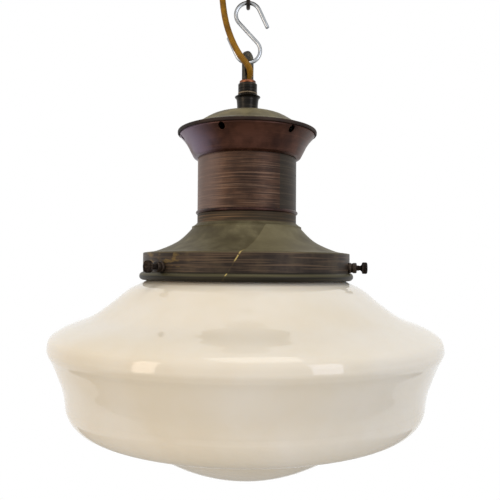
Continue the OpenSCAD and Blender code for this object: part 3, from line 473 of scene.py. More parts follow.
bpy.ops.mesh.select_mode(type="FACE")
bpy.ops.mesh.inset(thickness=0.06 * MM, depth=-0.25 * MM, use_individual=True)
bpy.ops.object.mode_set(mode="OBJECT")
fit(rose_nut, "ceiling", "rose_nut", bright_brass)

# Soft black rubber of the bush: matt, with a fine bloom
rubber = even_finish(
    "black_bush_rubber", {"size": 2.5, "detail": 5.0}, ((0.3, "#191817"), (0.75, "#2B2927")),
    {"Roughness": 0.75}, ({"size": 0.4}, 0.3, 0.02))

# The back plate, the terminal block, its screws and the bush hide in the rose, or are plain
# enough, and keep their CAD shape. The plate's zinc plating gives grey spangles 6 mm across.
galvanised, tree, shader = new_material("zinc_plated_steel_sheet")
spangle = add_node(tree, "TexVoronoi", {
    "Vector": add_node(tree, "TexCoord", output="Object"), "Scale": 1 / (6 * MM)})
set_inputs(tree, shader, {
    "Base Color": add_node(
        tree, "ValToRGB", [spangle], stops=((0.0, "#A9ABA8"), (0.7, "#BFC1BE"))),
    "Metallic": 1.0, "Roughness": 0.42})

# Glazed porcelain: cream white, with a wet shine that dips and swells a little
porcelain = even_finish(
    "glazed_porcelain", {"size": 6, "detail": 3.0}, ((0.3, "#E9E5DA"), (0.7, "#F1EEE6")),
    {"Roughness": 0.12}, ({"size": 3}, 0.2, 0.03))

# Rubber insulation of the cores: brown and half matt
core_rubber = even_finish(
    "brown_core_insulation", {"size": 1.5}, ((0.3, "#4E3220"), (0.7, "#63412A")),
    {"Roughness": 0.5})


def wear(material, *nodes):
    """Gives CAD nodes whose shape is right their material."""
    for node in nodes:
        finish_with(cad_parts[node], material)


wear(rubber, "flex_bush")
wear(galvanised, "back_plate")
wear(porcelain, "terminal_block")
wear(bright_brass, "terminal_inserts", "earth_screw")
wear(core_rubber, "rose_cores")

# The same flex inside the rose, from the point where its braid is cut back
held = tube("covered_flex_in_rose", [
    Vector((-22, 0, z)) * MM for z in (-15, -20, -25, -28.5)], FLEX_DIAMETER, -13.5 * MM)
fit(held, "ceiling", "flex_in_rose", braid)


# Ceiling hook: black iron rod, screwed into the plate's boss and bent by hand. Only the
# tip of its bend shows at the top edge of the photo.
WIRE_SIDES = 32
HOOK_WIRE, HOOK_BEND_R, HOOK_SHOULDER_R, HOOK_TIP = 3.4, 9, 6, 25
HOOK_BEND_Z = -51.8


def start_wire(name, place, along, diameter):
    """Starts a round wire: a disc at a place, square to a direction, in edit mode."""
    bpy.ops.object.select_all(action="DESELECT")
    turn = Vector(along).to_track_quat("Z", "Y").to_euler()
    bpy.ops.mesh.primitive_circle_add(
        vertices=WIRE_SIDES, radius=diameter / 2 * MM, fill_type="NGON",
        location=Vector(place) * MM, rotation=turn)
    wire = bpy.context.object
    wire.name = wire.data.name = name
    place_in_mesh()
    bpy.ops.object.mode_set(mode="EDIT")
    bpy.ops.mesh.select_all(action="SELECT")
    return wire


def go_straight(along, length):
    move = Vector(along).normalized() * length * MM
    bpy.ops.mesh.extrude_region_move(TRANSFORM_OT_translate={"value": tuple(move)})


def go_round(centre, axis, degrees):
    """Bends the wire on about an axis, by the right-hand rule. Spin turns the other way."""
    bpy.ops.mesh.spin(
        steps=max(6, int(abs(degrees) / 5)), angle=-math.radians(degrees),
        center=tuple(Vector(centre) * MM), axis=axis)


def end_wire(wire, rounding):
    """Closes the wire and rounds its two cut ends."""
    bpy.ops.mesh.select_all(action="SELECT")
    bpy.ops.mesh.remove_doubles(threshold=0.001 * MM)
    bpy.ops.mesh.select_all(action="SELECT")
    bpy.ops.mesh.normals_make_consistent(inside=False)
    bpy.ops.mesh.select_all(action="DESELECT")
    bpy.ops.object.mode_set(mode="OBJECT")
    for face in wire.data.polygons:
        face.select = len(face.vertices) == WIRE_SIDES
    bpy.ops.object.mode_set(mode="EDIT")
    bpy.ops.mesh.select_mode(type="FACE")
    bpy.ops.mesh.region_to_loop()
    bpy.ops.mesh.bevel(offset=rounding * MM, segments=3, affect="EDGES")
    bpy.ops.object.mode_set(mode="OBJECT")
    bpy.ops.object.shade_smooth_by_angle(angle=math.radians(50))


rise = math.sqrt((HOOK_BEND_R + HOOK_SHOULDER_R) ** 2 - HOOK_SHOULDER_R ** 2)
meet = math.degrees(math.acos(HOOK_SHOULDER_R / (HOOK_BEND_R + HOOK_SHOULDER_R)))
shank_z = HOOK_BEND_Z + rise
hook = start_wire("bent_iron_ceiling_hook", (0, 0, -2.2), (0, 0, -1), HOOK_WIRE - 0.1)
go_straight((0, 0, -1), -2.2 - shank_z)
go_round((0, HOOK_SHOULDER_R, shank_z), (1, 0, 0), meet)
go_round((0, 0, HOOK_BEND_Z), (1, 0, 0), -(180 + meet + HOOK_TIP))
end_wire(hook, 0.6)

# Black iron: dark oxide from the forge, rubbed brown where it is handled
iron = even_finish(
    "black_bent_iron", {"size": 4, "detail": 6.0},
    ((0.35, "#221F1D"), (0.58, "#38302A"), (0.75, "#5A4030")),
    {"Metallic": 0.7, "Roughness": 0.5}, ({"size": 0.7, "detail": 5.0}, 0.5, 0.05))
fit(hook, "ceiling", "rose_hook", iron)


# S hook: bright zinc-plated steel wire, bent cold to an S with open tails. Its lower bend
# carries the cast loop. The plating is smooth, with a faint grain from drawing the wire.
S_WIRE, S_BEND_R, S_TAIL, S_TAIL_ANGLE = 3.2, 10, 16.5, 25
S_TOP_Z, S_LOW_Z = -67.2, -96.7
lean = math.degrees(math.asin(2 * S_BEND_R / (S_TOP_Z - S_LOW_Z)))
sweep = 180 + lean - S_TAIL_ANGLE
tail = math.radians(S_TAIL_ANGLE)
up_tail = Vector((-math.sin(tail), 0, math.cos(tail)))
bend_start = Vector((
    S_BEND_R * math.cos(tail), 0, S_TOP_Z + S_BEND_R * math.sin(tail)))
slant = Vector((math.sin(math.radians(lean)), 0, -math.cos(math.radians(lean))))
slant_l = math.sqrt((S_TOP_Z - S_LOW_Z) ** 2 - (2 * S_BEND_R) ** 2)
s_hook = start_wire("bright_s_hook", bend_start - up_tail * S_TAIL, up_tail, S_WIRE)
go_straight(up_tail, S_TAIL)
go_round((0, 0, S_TOP_Z), (0, -1, 0), sweep)
go_straight(slant, slant_l)
go_round((0, 0, S_LOW_Z), (0, -1, 0), -sweep)
go_straight(up_tail, S_TAIL)
end_wire(s_hook, 0.5)

# Bright zinc: a clear grey mirror, a little blurred by the wire's grain
zinc = even_finish(
    "bright_zinc_plating", {"size": 6}, ((0.3, "#9DA0A3"), (0.7, "#B4B7B9")),
    {"Metallic": 1.0, "Specular Tint": colour("#6A6C70"), "Roughness": 0.24},
    ({"size": 0.8, "stretch": (1, 1, 4), "detail": 2.0}, 0.1, 0.002))
fit(s_hook, "s_hook", "s_hook", zinc)


# Cast loop: a bronze eye, cast in sand with a thick crown and worn smooth, turned so that
# its opening faces past the S hook. Its legs are brazed into the copper ring.
LEG_X, LEG_D, CROWN_H, LOOP_TURN = 4.6, 3.2, 7.5, -126
COUPLER_Z = -121.9
LOOP_IN_Z = -104.8
eye_z = LOOP_IN_Z - LEG_X + LEG_D / 2
crown_z = eye_z - LEG_D + CROWN_H
outer_r, inner_r = LEG_X + LEG_D / 2, LEG_X - LEG_D / 2
eye_outline = [(outer_r, COUPLER_Z)] + arc((0, crown_z), outer_r, 0, 180, 20)
eye_outline += [(-outer_r, COUPLER_Z), (-inner_r, COUPLER_Z)]
eye_outline += arc((0, eye_z), inner_r, 180, 0, 14) + [(inner_r, COUPLER_Z)]
half = (LEG_D - 0.2) / 2
eye = trace("cast_top_loop", eye_outline, -half)
bpy.ops.mesh.edge_face_add()
bpy.ops.mesh.extrude_region_move(TRANSFORM_OT_translate={"value": (0, 2 * half * MM, 0)})
bpy.ops.mesh.select_all(action="SELECT")
bpy.ops.mesh.normals_make_consistent(inside=False)
bpy.ops.mesh.select_all(action="DESELECT")
bpy.ops.object.mode_set(mode="OBJECT")
for edge in eye.data.edges:
    a, b = (eye.data.vertices[v].co for v in edge.vertices)
    level = abs(a.y - b.y) < 0.01 * MM
    foot = max(a.z, b.z) < (COUPLER_Z + 0.01) * MM
    edge.select = level and not foot
bpy.ops.object.mode_set(mode="EDIT")
bpy.ops.mesh.select_mode(type="EDGE")
bpy.ops.mesh.bevel(offset=1.35 * MM, segments=5, affect="EDGES", clamp_overlap=True)
bpy.ops.object.mode_set(mode="OBJECT")
eye.rotation_euler = (0, 0, math.radians(LOOP_TURN))
place_in_mesh()
bpy.ops.object.shade_smooth_by_angle(angle=math.radians(60))

# Sand-cast bronze, nearly black with age: a pitted skin, rubbed to metal on its high side
cast_bronze = even_finish(
    "aged_cast_bronze", {"size": 3, "detail": 6.0},
    ((0.35, "#26231D"), (0.55, "#3F3A2E"), (0.72, "#6B6146")),
    {"Metallic": 0.7, "Roughness": 0.42}, ({"size": 0.6, "detail": 6.0}, 0.7, 0.12))
fit(eye, "lamp", "top_loop", cast_bronze)


# Coupler: a bare copper ring, a dark turned collar with two grooves, a thin brass washer
# and a lock nut with a sharp edge. They screw on the hollow stem and clamp the cap.
# Bare copper: red and half bright, with dark streaks that go round it
copper = even_finish(
    "rubbed_copper", {"size": 2.5, "stretch": (2, 2, 1), "detail": 5.0},
    ((0.32, "#3F2418"), (0.5, "#6E3F29"), (0.68, "#9A6344")),
    {"Metallic": 0.9, "Roughness": 0.42})
COLLAR_Z, COLLAR_H, WASHER_Z, NUT_Z = -124.3, 7.6, -131.9, -133.1
RING_R, RING_HOLE_R, WASHER_R = 6.6, 3.4, 7.9
ring = turned("copper_ring", eased([
    (RING_HOLE_R, COUPLER_Z, 0.3), (RING_R, COUPLER_Z, 0.7), (RING_R, COLLAR_Z, 0.5),
    (RING_HOLE_R, COLLAR_Z, 0.2)]), steps=SMALL_STEPS)
fit(ring, "lamp", "copper_ring", copper)

# Turned gunmetal: nearly black, with fine lines that catch the light
gunmetal = patina(
    "dark_turned_gunmetal", ("#171513", "#22201D", "#302C26"), "#4A4337", 0.5, 0.8, 0.36,
    line_mm=0.45, depth_mm=0.02)[0]
COLLAR_R, GROOVE_R, STEM_FIT = 7.7, 0.35, 5.05
collar_side = [(STEM_FIT, COLLAR_Z), (COLLAR_R - 0.5, COLLAR_Z), (COLLAR_R, COLLAR_Z - 0.5)]
for groove_z in (COLLAR_Z - 0.3 * COLLAR_H, COLLAR_Z - 0.62 * COLLAR_H):
    collar_side += arc((COLLAR_R, groove_z), GROOVE_R, 90, 270, 8)
collar_side += [
    (COLLAR_R, WASHER_Z + 0.4), (COLLAR_R - 0.3, WASHER_Z), (STEM_FIT, WASHER_Z)]
collar = turned("turned_collar", collar_side, steps=SMALL_STEPS)
fit(collar, "lamp", "collar", gunmetal)

# Tarnished brass: a dull warm grey, still lighter than the collar and the nut
tarnished_brass = patina(
    "tarnished_thin_brass", ("#5E5240", "#7C6D57", "#91826A"), "#A3937A", 0.3, 0.4, 0.45,
    line_mm=0.4, depth_mm=0.01)[0]
washer = turned("thin_brass_washer", eased([
    (STEM_FIT, WASHER_Z, 0), (WASHER_R, WASHER_Z, 0.35), (WASHER_R, NUT_Z, 0.35),
    (STEM_FIT, NUT_Z, 0)]), steps=SMALL_STEPS)
fit(washer, "lamp", "brass_washer", tarnished_brass)


def curve(points, steps):
    """A smooth line through points, as (radius, height) pairs."""
    return [tuple(p) for p in smooth_line(points, steps)]


CAP_Z = -148
nut_line = [
    (STEM_FIT, NUT_Z), (7.5, NUT_Z), (7.8, -133.6), (9.8, -134.8), (10.3, -135),
    (10.4, -135.12), (10.15, -135.6)]
nut_line += curve([(9.45, -136.3), (8.97, -137.5), (8.5, -142.2), (8.5, CAP_Z + 0.3)], 6)
nut_line += [(8.3, CAP_Z), (STEM_FIT, CAP_Z)]
lock_nut = turned("turned_lock_nut", nut_line, angle=30)
fit(lock_nut, "lamp", "lock_nut", gunmetal)

# Inside the coupler: the grip on the flex, the stem and the flex itself. The nylon is off
# white and waxy.
nylon = even_finish(
    "natural_nylon", {"size": 1.5}, ((0.3, "#DDD8C8"), (0.7, "#E9E5D8")), {"Roughness": 0.4})
wear(nylon, "cord_grip", "tip_1", "tip_2", "tip_3")
wear(bright_brass, "stem", "cap_nut", "carrier_nuts")
held = tube("covered_flex_in_stem", [
    Vector((0, 0, z)) * MM for z in (-126.4, -160, -195, -228.1)], FLEX_DIAMETER, done)
fit(held, "lamp", "flex_in_stem", braid)


# Cap: a dished disc of spun copper with a flat seat and a turned-down lip. Its top is dull
# khaki under old lacquer and dust, and its lip is painted dark, as painted shade under the rim.
CAP_R, CAP_SEAT_R, CAP_RISE, CAP_LIP_H, CAP_LIP_R, CAP_T, CAP_EDGE = 56.2, 12, 16.1, 2.8, 0.7, 1, 1
SHEET_STEPS = 160
cap_rim_z = CAP_Z - CAP_RISE
cap_lip_z = cap_rim_z - CAP_LIP_H


def between(a, b, *shares):
    """Points between a and b, each at its shares of the way out and down."""
    return [(a[0] + (b[0] - a[0]) * out, a[1] + (b[1] - a[1]) * down) for out, down in shares]


seat, brim = (CAP_SEAT_R, CAP_Z), (CAP_R - CAP_EDGE, cap_rim_z)
dish = curve([seat] + between(
    seat, brim, (0.19, 0.06), (0.42, 0.25), (0.65, 0.62), (0.77, 0.81), (0.88, 0.88)) + [brim], 6)
dish_line = sheet_outline([(STEM_FIT, CAP_Z)] + dish, CAP_T)
cap_line = dish_line[:len(dish) + 1]
cap_line += arc((CAP_R - CAP_EDGE, cap_rim_z - CAP_EDGE), CAP_EDGE, 75, 0, 7)
cap_line += arc((CAP_R - CAP_LIP_R, cap_lip_z + CAP_LIP_R), CAP_LIP_R, 0, -180, 8)
cap_line += [(CAP_R - 2 * CAP_LIP_R, cap_rim_z - CAP_T), (53, cap_rim_z - CAP_T)]
cap_line += dish_line[len(dish) + 4:]
cap = turned("spun_cap", cap_line, steps=SHEET_STEPS)

# Khaki lacquer and dust over copper, matt on top; the lip is painted dark as painted shade
cap_metal, tree, shader, tone = patina(
    "khaki_patinated_copper_cap", ("#4A432F", "#61593F", "#776E50"), "#857A58", 0.25, 0.25,
    0.56, line_mm=0.9)
height = add_node(tree, "SeparateXYZ", [
    add_node(tree, "TexCoord", output="Object")]).node.outputs["Z"]
wavering = add_node(tree, "Math", (grain(tree, 3), 1.2 * MM), operation="MULTIPLY")
under_rim = add_node(tree, "MapRange", (
    add_node(tree, "Math", (height, wavering), operation="ADD"),
    (cap_rim_z - 0.2) * MM, (cap_rim_z + 1.0) * MM), interpolation_type="SMOOTHSTEP")
# Painted shade: the lip below the rim is painted nearly black
painted_lip_shade = add_node(
    tree, "ValToRGB", [grain(tree, 6, stretch=(4, 4, 1))],
    stops=((0.35, "#1C130F"), (0.5, "#281B15"), (0.65, "#34261D")))
set_inputs(tree, shader, {"Base Color": add_node(
    tree, "Mix", {0: under_rim, 6: painted_lip_shade, 7: tone}, data_type="RGBA", output=2)})
fit(cap, "lamp", "cap", cap_metal)


# Vent flare: a bell of thin spun copper that fits inside the cap's lip and round the neck,
# with six drilled vent holes under the lip. Its oxide is smooth and purple-brown.
FLARE_R, FLARE_FOOT_R, FLARE_T, NECK_Z, NECK_R = 54.4, 44.4, 1, -183.5, 39.8
FLARE_SLEEVE_Z = NECK_Z - 2.9
VENTS, VENT_TURN, VENT_D, VENT_Z = 6, -21, 5, -169.7
VENT_MIDDLE_R, VENT_DEPTH = 50, 30
bell_a, bell_b = (FLARE_R, cap_lip_z - FLARE_T), (FLARE_FOOT_R, NECK_Z + FLARE_T / 2)
bell = curve([bell_a] + between(
    bell_a, bell_b, (0.3, 0.22), (0.52, 0.41), (0.7, 0.61), (0.85, 0.81)) + [bell_b], 6)
sleeve_end = (NECK_R + 1.4, FLARE_SLEEVE_Z)
foot = curve([bell_b] + between(bell_b, sleeve_end, (0.38, 0.62)) + [sleeve_end], 6)
flare_line = [(FLARE_R - FLARE_T, cap_rim_z - CAP_T), (FLARE_R, cap_rim_z - CAP_T)]
flare_line += bell + foot[1:] + [(NECK_R, FLARE_SLEEVE_Z), (NECK_R, NECK_Z + FLARE_T)]
flare_line += [(FLARE_FOOT_R - 2 * FLARE_T, NECK_Z + 2 * FLARE_T)]
flare_line += [(r - FLARE_T, z) for r, z in bell[-6::-1]]
flare = turned("vent_flare", flare_line, angle=40, steps=SHEET_STEPS)


def drill(piece, count, first_turn, diameter, depth, place):
    """Drills a ring of round holes in a turned piece, towards its axis. The place is the
    radius and height of the middle of each hole."""
    bpy.ops.object.select_all(action="DESELECT")
    bpy.ops.mesh.primitive_cylinder_add(
        vertices=32, radius=diameter / 2 * MM, depth=depth * MM,
        location=(0, -place[0] * MM, place[1] * MM), rotation=(math.radians(90), 0, 0))
    bit = bpy.context.object
    place_in_mesh()
    bit.rotation_euler = (0, 0, math.radians(first_turn))
    place_in_mesh()
    bpy.ops.object.mode_set(mode="EDIT")
    for _ in range(count - 1):
        bpy.ops.mesh.duplicate()
        bpy.ops.transform.rotate(
            value=2 * math.pi / count, orient_axis="Z", center_override=(0, 0, 0))
    bpy.ops.object.mode_set(mode="OBJECT")
    bpy.ops.object.select_all(action="DESELECT")
    piece.select_set(True)
    bpy.context.view_layer.objects.active = piece
    cut = piece.modifiers.new("holes", "BOOLEAN")
    cut.operation, cut.solver, cut.object = "DIFFERENCE", "EXACT", bit
    bpy.ops.object.modifier_apply(modifier=cut.name)
    bpy.data.objects.remove(bit)
    bpy.ops.object.shade_smooth_by_angle(angle=math.radians(40))


drill(flare, VENTS, VENT_TURN, VENT_D, VENT_DEPTH, (VENT_MIDDLE_R, VENT_Z))


def coordinates(tree):
    """Object coordinates X, Y and Z, and the angle round the light from its front."""
    split = add_node(tree, "SeparateXYZ", [add_node(tree, "TexCoord", output="Object")]).node
    x, y, z = (split.outputs[k] for k in "XYZ")
    backwards = add_node(tree, "Math", (y, -1.0), operation="MULTIPLY")
    return x, y, z, add_node(tree, "Math", (x, backwards), operation="ARCTAN2")


def stretch_of(tree, value, rise, fall, unit=MM):
    """A pattern that is 1 along a stretch and rises and falls smoothly at its ends. Each
    end is two values, in mm or another unit."""
    ends = [
        add_node(tree, "MapRange", (value, low * unit, high * unit),
                 interpolation_type="SMOOTHSTEP") for low, high in (rise, fall)]
    return add_node(tree, "Math", ends, operation="MULTIPLY")


DEGREE = math.radians(1)

# Spun copper under a smooth purple-brown oxide. A patchy lilac sheen is painted on the side
# that faces the window: a painted reflection of the window's light.
flare_metal, tree, shader, tone = patina(
    "purple_brown_spun_copper", ("#301A13", "#40261C", "#4F3126"), "#603F31", 0.3, 0.5, 0.36,
    line_mm=0.8)
around = coordinates(tree)[3]
patchy = add_node(
    tree, "MapRange", (grain(tree, 20, detail=3.0), 0.25, 0.5), interpolation_type="SMOOTHSTEP")
# Painted reflection: a lilac sheen on the window side, broken into patches
painted_lilac_sheen = add_node(
    tree, "Math", (stretch_of(tree, around, (-22, -62), (-120, -85), DEGREE), patchy),
    operation="MULTIPLY")
set_inputs(tree, shader, {"Base Color": rubbed_to(tree, tone, painted_lilac_sheen, 0.75, "#7E7084")})
fit(flare, "lamp", "vent_flare", flare_metal)


# Neck: a plain tube of copper sheet, soldered in the sleeve of the flare. It was rubbed on
# the lathe, so bright lines run round it, closest in its lower two thirds.
NECK_T, NECK_H = 0.9, 45
bead_top_z = NECK_Z - NECK_H
neck = turned("neck_tube", eased([
    (NECK_R, NECK_Z, 0.2), (NECK_R, bead_top_z, 0.1), (NECK_R - NECK_T, bead_top_z, 0.1),
    (NECK_R - NECK_T, NECK_Z, 0.2)]), steps=SHEET_STEPS)

# Rubbed brown copper: half matt, with lines of three tones that show where it was turned
neck_metal, tree, shader = new_material("rubbed_brown_copper")
height, around = coordinates(tree)[2:]
tone = add_node(
    tree, "ValToRGB", [grain(tree, 16, detail=6.0)],
    stops=((0.35, "#35241B"), (0.5, "#473124"), (0.65, "#573F30")))
coarse = grain(tree, 1.0, stretch=(50, 50, 1), detail=3.0)
fine = grain(tree, 0.55, stretch=(40, 40, 1), detail=3.0)
lower = add_node(
    tree, "MapRange", (height, (NECK_Z - 6) * MM, (NECK_Z - 22) * MM),
    interpolation_type="SMOOTHSTEP")
lower_half = add_node(tree, "Math", (lower, 0.5), operation="MULTIPLY")
closeness = add_node(tree, "Math", (lower_half, 0.25), operation="ADD")
bright_lines = add_node(
    tree, "MapRange", (coarse, 0.5, 0.62), interpolation_type="SMOOTHSTEP")
rubbed = add_node(tree, "Math", (bright_lines, closeness), operation="MULTIPLY")
tone = add_node(
    tree, "Mix", {0: rubbed, 6: tone, 7: colour("#6E5645")}, data_type="RGBA", output=2)
scored = add_node(tree, "MapRange", (fine, 0.5, 0.58), interpolation_type="SMOOTHSTEP")
tone = rubbed_to(tree, tone, scored, 0.7, "#271C16")

# One side is darker and greenish, up to an upright edge
dark_strip_side = stretch_of(tree, around, (38.6, 39.4), (140, 120), DEGREE)
dark_strip_tone = add_node(tree, "ValToRGB", [coarse], stops=((0.4, "#2A2620"), (0.65, "#3B352B")))
dark_strip_share = add_node(tree, "Math", (dark_strip_side, 0.85), operation="MULTIPLY")
tone = add_node(
    tree, "Mix", {0: dark_strip_share, 6: tone, 7: dark_strip_tone}, data_type="RGBA", output=2)

# The side by the window is painted lighter and lilac grey: a painted sheen, the window's
# reflection
painted_window_sheen = stretch_of(tree, around, (-22, -48), (-110, -80), DEGREE)
tone = rubbed_to(tree, tone, painted_window_sheen, 0.45, "#8F7A72")
lines = add_node(tree, "Math", (coarse, fine), operation="ADD")
set_inputs(tree, shader, {
    "Base Color": tone,
    "Normal": add_node(tree, "Bump", {
        "Height": lines, "Strength": 0.7, "Distance": 0.06 * MM}),
    "Metallic": 0.4, "Specular IOR Level": OXIDE_SHINE, "Roughness": 0.48})
fit(neck, "lamp", "neck_tube", neck_metal)

# Bead: a half-round copper wire, sweated on under the neck. It is nearly black.
BEAD_H, BEAD_R = 2.8, 41.1
gallery_top_z = bead_top_z - BEAD_H
half_bead = BEAD_H / 2
bead = turned(
    "neck_bead",
    [(NECK_R - NECK_T, bead_top_z), (BEAD_R - half_bead, bead_top_z)]
    + arc((BEAD_R - half_bead, bead_top_z - half_bead), half_bead, 90, -90, 14)[1:]
    + [(NECK_R - NECK_T, gallery_top_z)], steps=SHEET_STEPS)
bead_metal = patina(
    "black_red_copper_wire", ("#1E1311", "#2F1C18", "#402821"), "#5A4036", 0.25, 0.5, 0.32)[0]
fit(bead, "lamp", "neck_bead", bead_metal)
wear(galvanised, "carrier_plate")


# Gallery: the spun copper cup that holds the glass. A short collar, a hollow shoulder, a
# straight band and a foot rolled over a wire. An old scratch runs down to bare brass.
GALLERY_T, BAND_R, BAND_Z, BAND_EDGE, ROLL_R, ROLL_Z = 1, 82.3, -262.5, 0.6, 3.1, -280.6
SHOULDER_Z = -238.9
step_corner = (NECK_R + 4.2, SHOULDER_Z - 2.4)
band_corner = (BAND_R - BAND_EDGE, BAND_Z)
outside = [(NECK_R, gallery_top_z)] + curve([
    (NECK_R, SHOULDER_Z + 1), (NECK_R + 0.7, SHOULDER_Z), (NECK_R + 2.1, SHOULDER_Z - 1.2),
    step_corner], 5)
outside += curve([step_corner] + between(
    step_corner, band_corner, (0.03, 0.13), (0.3, 0.57), (0.715, 0.906)) + [band_corner], 9)[1:]
gallery_line = sheet_outline(outside, GALLERY_T)
outer_half, inner_half = gallery_line[:len(outside)], gallery_line[len(outside):]
band_line = arc((BAND_R - BAND_EDGE, BAND_Z - BAND_EDGE), BAND_EDGE, 80, 0, 5)
band_line += [(BAND_R, ROLL_Z + ROLL_R + 0.1)]
band_line += arc((BAND_R - 0.3, ROLL_Z), ROLL_R, 84, -262, 30)
gallery = turned(
    "spun_gallery", outer_half + band_line + [(BAND_R - GALLERY_T, BAND_Z - 1.5)]
    + inner_half[1:], angle=40, steps=SHEET_STEPS)

# Three holes in the band take the bosses. The screws' tips draw back into them.
SCREW_Z, SCREW_TURNS = -273.5, (-47, 73, 193)
BOSS_SPIGOT_R = 3
drill(gallery, len(SCREW_TURNS), SCREW_TURNS[0], 2 * BOSS_SPIGOT_R - 0.2, 8, (BAND_R, SCREW_Z))

# Spun copper in three finishes: a khaki shoulder, matt with dust, a brown band with rubbed
# lines, and a foot and collar that dirt and polish have made darker and redder
gallery_metal, tree, shader = new_material("khaki_and_brown_spun_copper")
x, y, z, around = coordinates(tree)
clouds = grain(tree, 12, detail=6.0)
khaki = add_node(tree, "ValToRGB", [clouds], stops=(
    (0.3, "#473F2D"), (0.48, "#544D37"), (0.6, "#5F5841"), (0.74, "#6E674C")))
lines = grain(tree, 0.8, stretch=(60, 60, 1), detail=3.0)
brown = add_node(tree, "ValToRGB", [clouds], stops=(
    (0.36, "#261E18"), (0.5, "#312820"), (0.64, "#3D3327")))
crests = add_node(tree, "MapRange", (lines, 0.52, 0.6), interpolation_type="SMOOTHSTEP")
brown = rubbed_to(tree, brown, crests, 0.7, "#574636")

# The band's left end is worn through to gold, in patches
left_end = add_node(
    tree, "MapRange", (around, -24 * DEGREE, -40 * DEGREE), interpolation_type="SMOOTHSTEP")
patches = add_node(
    tree, "MapRange", (grain(tree, 4, stretch=(3, 3, 1), detail=5.0), 0.5, 0.62),
    interpolation_type="SMOOTHSTEP")
worn_gold = add_node(tree, "Math", (left_end, patches), operation="MULTIPLY")
brown = rubbed_to(tree, brown, worn_gold, 0.55, "#7D6638")
foot_tone = add_node(
    tree, "ValToRGB", [lines], stops=((0.4, "#191610"), (0.6, "#28241A"), (0.72, "#3A3526")))
collar_tone = add_node(
    tree, "ValToRGB", [lines], stops=((0.42, "#30281C"), (0.58, "#463828"), (0.7, "#775A40")))
on_band, on_foot, on_collar = (
    add_node(tree, "MapRange", (z, low * MM, high * MM), interpolation_type="SMOOTHSTEP")
    for low, high in (
        (BAND_Z + 0.5, BAND_Z - 0.3), (ROLL_Z + 4.4, ROLL_Z + 2.6),
        (SHOULDER_Z - 0.2, SHOULDER_Z + 0.6)))
tone = khaki
for share, finish in ((on_collar, collar_tone), (on_band, brown), (on_foot, foot_tone)):
    tone = add_node(tree, "Mix", {0: share, 6: tone, 7: finish}, data_type="RGBA", output=2)

# The upper edge of the band is rubbed lighter; the crest of the roll is rubbed and painted lighter
band_edge = stretch_of(tree, z, (BAND_Z - 1.6, BAND_Z - 0.4), (BAND_Z + 0.8, BAND_Z + 0.1))
tone = rubbed_to(tree, tone, band_edge, 0.5, "#665E45")
squares = [add_node(tree, "Math", (side, side), operation="MULTIPLY") for side in (x, y)]
radius = add_node(
    tree, "Math", [add_node(tree, "Math", squares, operation="ADD")], operation="SQRT")
# Wear and painted highlight: a light line along the upper outside of the roll
crest_wear_and_highlight = add_node(tree, "Math", [
    add_node(tree, "MapRange", (value, low * MM, high * MM), interpolation_type="SMOOTHSTEP")
    for value, low, high in (
        (radius, BAND_R + 0.9, BAND_R + 2.2), (z, ROLL_Z - 0.2, ROLL_Z + 1.4))],
    operation="MULTIPLY")
tone = rubbed_to(tree, tone, crest_wear_and_highlight, 0.5, "#5F593E")

# Scratch: it slants over the shoulder and down the band, where it shows the bare brass. Its
# line turns by so many degrees for each mm above and below the band's edge.
SLANT_ABOVE, SLANT_BELOW = DEGREE / MM, 0.42 * DEGREE / MM
drop = add_node(tree, "Math", (z, (BAND_Z + 0.1) * MM), operation="SUBTRACT")
turns = []
for limit, slant_mm in (("MAXIMUM", SLANT_ABOVE), ("MINIMUM", SLANT_BELOW)):
    past_edge = add_node(tree, "Math", (drop, 0.0), operation=limit)
    turns.append(add_node(tree, "Math", (past_edge, slant_mm), operation="MULTIPLY"))
line_at = add_node(tree, "Math", turns, operation="ADD")
centred = add_node(tree, "Math", (grain(tree, 5), 0.5), operation="SUBTRACT")
wander = add_node(tree, "Math", (centred, 1.6 * DEGREE), operation="MULTIPLY")
scratch_at = add_node(tree, "Math", (line_at, wander), operation="ADD")
from_start = add_node(tree, "Math", (around, 2.5 * DEGREE), operation="ADD")
off_line = add_node(tree, "Math", (from_start, scratch_at), operation="SUBTRACT")
lighter_side = add_node(tree, "Math", (
    stretch_of(tree, off_line, (0.0, 0.7), (60, 15), DEGREE),
    stretch_of(tree, z, (BAND_Z - 0.2, BAND_Z + 0.6), (SHOULDER_Z - 1.5, SHOULDER_Z - 3))),
    operation="MULTIPLY")
tone = rubbed_to(tree, tone, lighter_side, 0.4, "#857D5F")
aside = add_node(tree, "Math", [off_line], operation="ABSOLUTE")
near_line = add_node(
    tree, "MapRange", (aside, 0.55 * DEGREE, 0.15 * DEGREE), interpolation_type="SMOOTHSTEP")
broken = add_node(
    tree, "MapRange", (grain(tree, 2.2, detail=3.0), 0.36, 0.5),
    interpolation_type="SMOOTHSTEP")
bare = add_node(tree, "Math", (
    stretch_of(tree, z, (BAND_Z + 2, BAND_Z - 0.5), (BAND_Z - 8, BAND_Z - 5.5)),
    stretch_of(tree, z, (ROLL_Z + 3.0, ROLL_Z + 2.4), (ROLL_Z + 0.8, ROLL_Z + 1.4))),
    operation="ADD")
brightness = add_node(tree, "Math", (
    add_node(tree, "Math", (bare, 0.75), operation="MULTIPLY"), 0.03), operation="ADD")
scratch = add_node(tree, "Math", (near_line, broken), operation="MULTIPLY")
scratch = add_node(tree, "Math", (scratch, brightness), operation="MULTIPLY")
below_collar = add_node(
    tree, "MapRange", (z, (SHOULDER_Z - 4) * MM, (SHOULDER_Z - 10) * MM),
    interpolation_type="SMOOTHSTEP")
scratch = add_node(tree, "Math", (scratch, below_collar), operation="MULTIPLY")
tone = add_node(
    tree, "Mix", {0: scratch, 6: tone, 7: colour("#C2AC6A")}, data_type="RGBA", output=2)
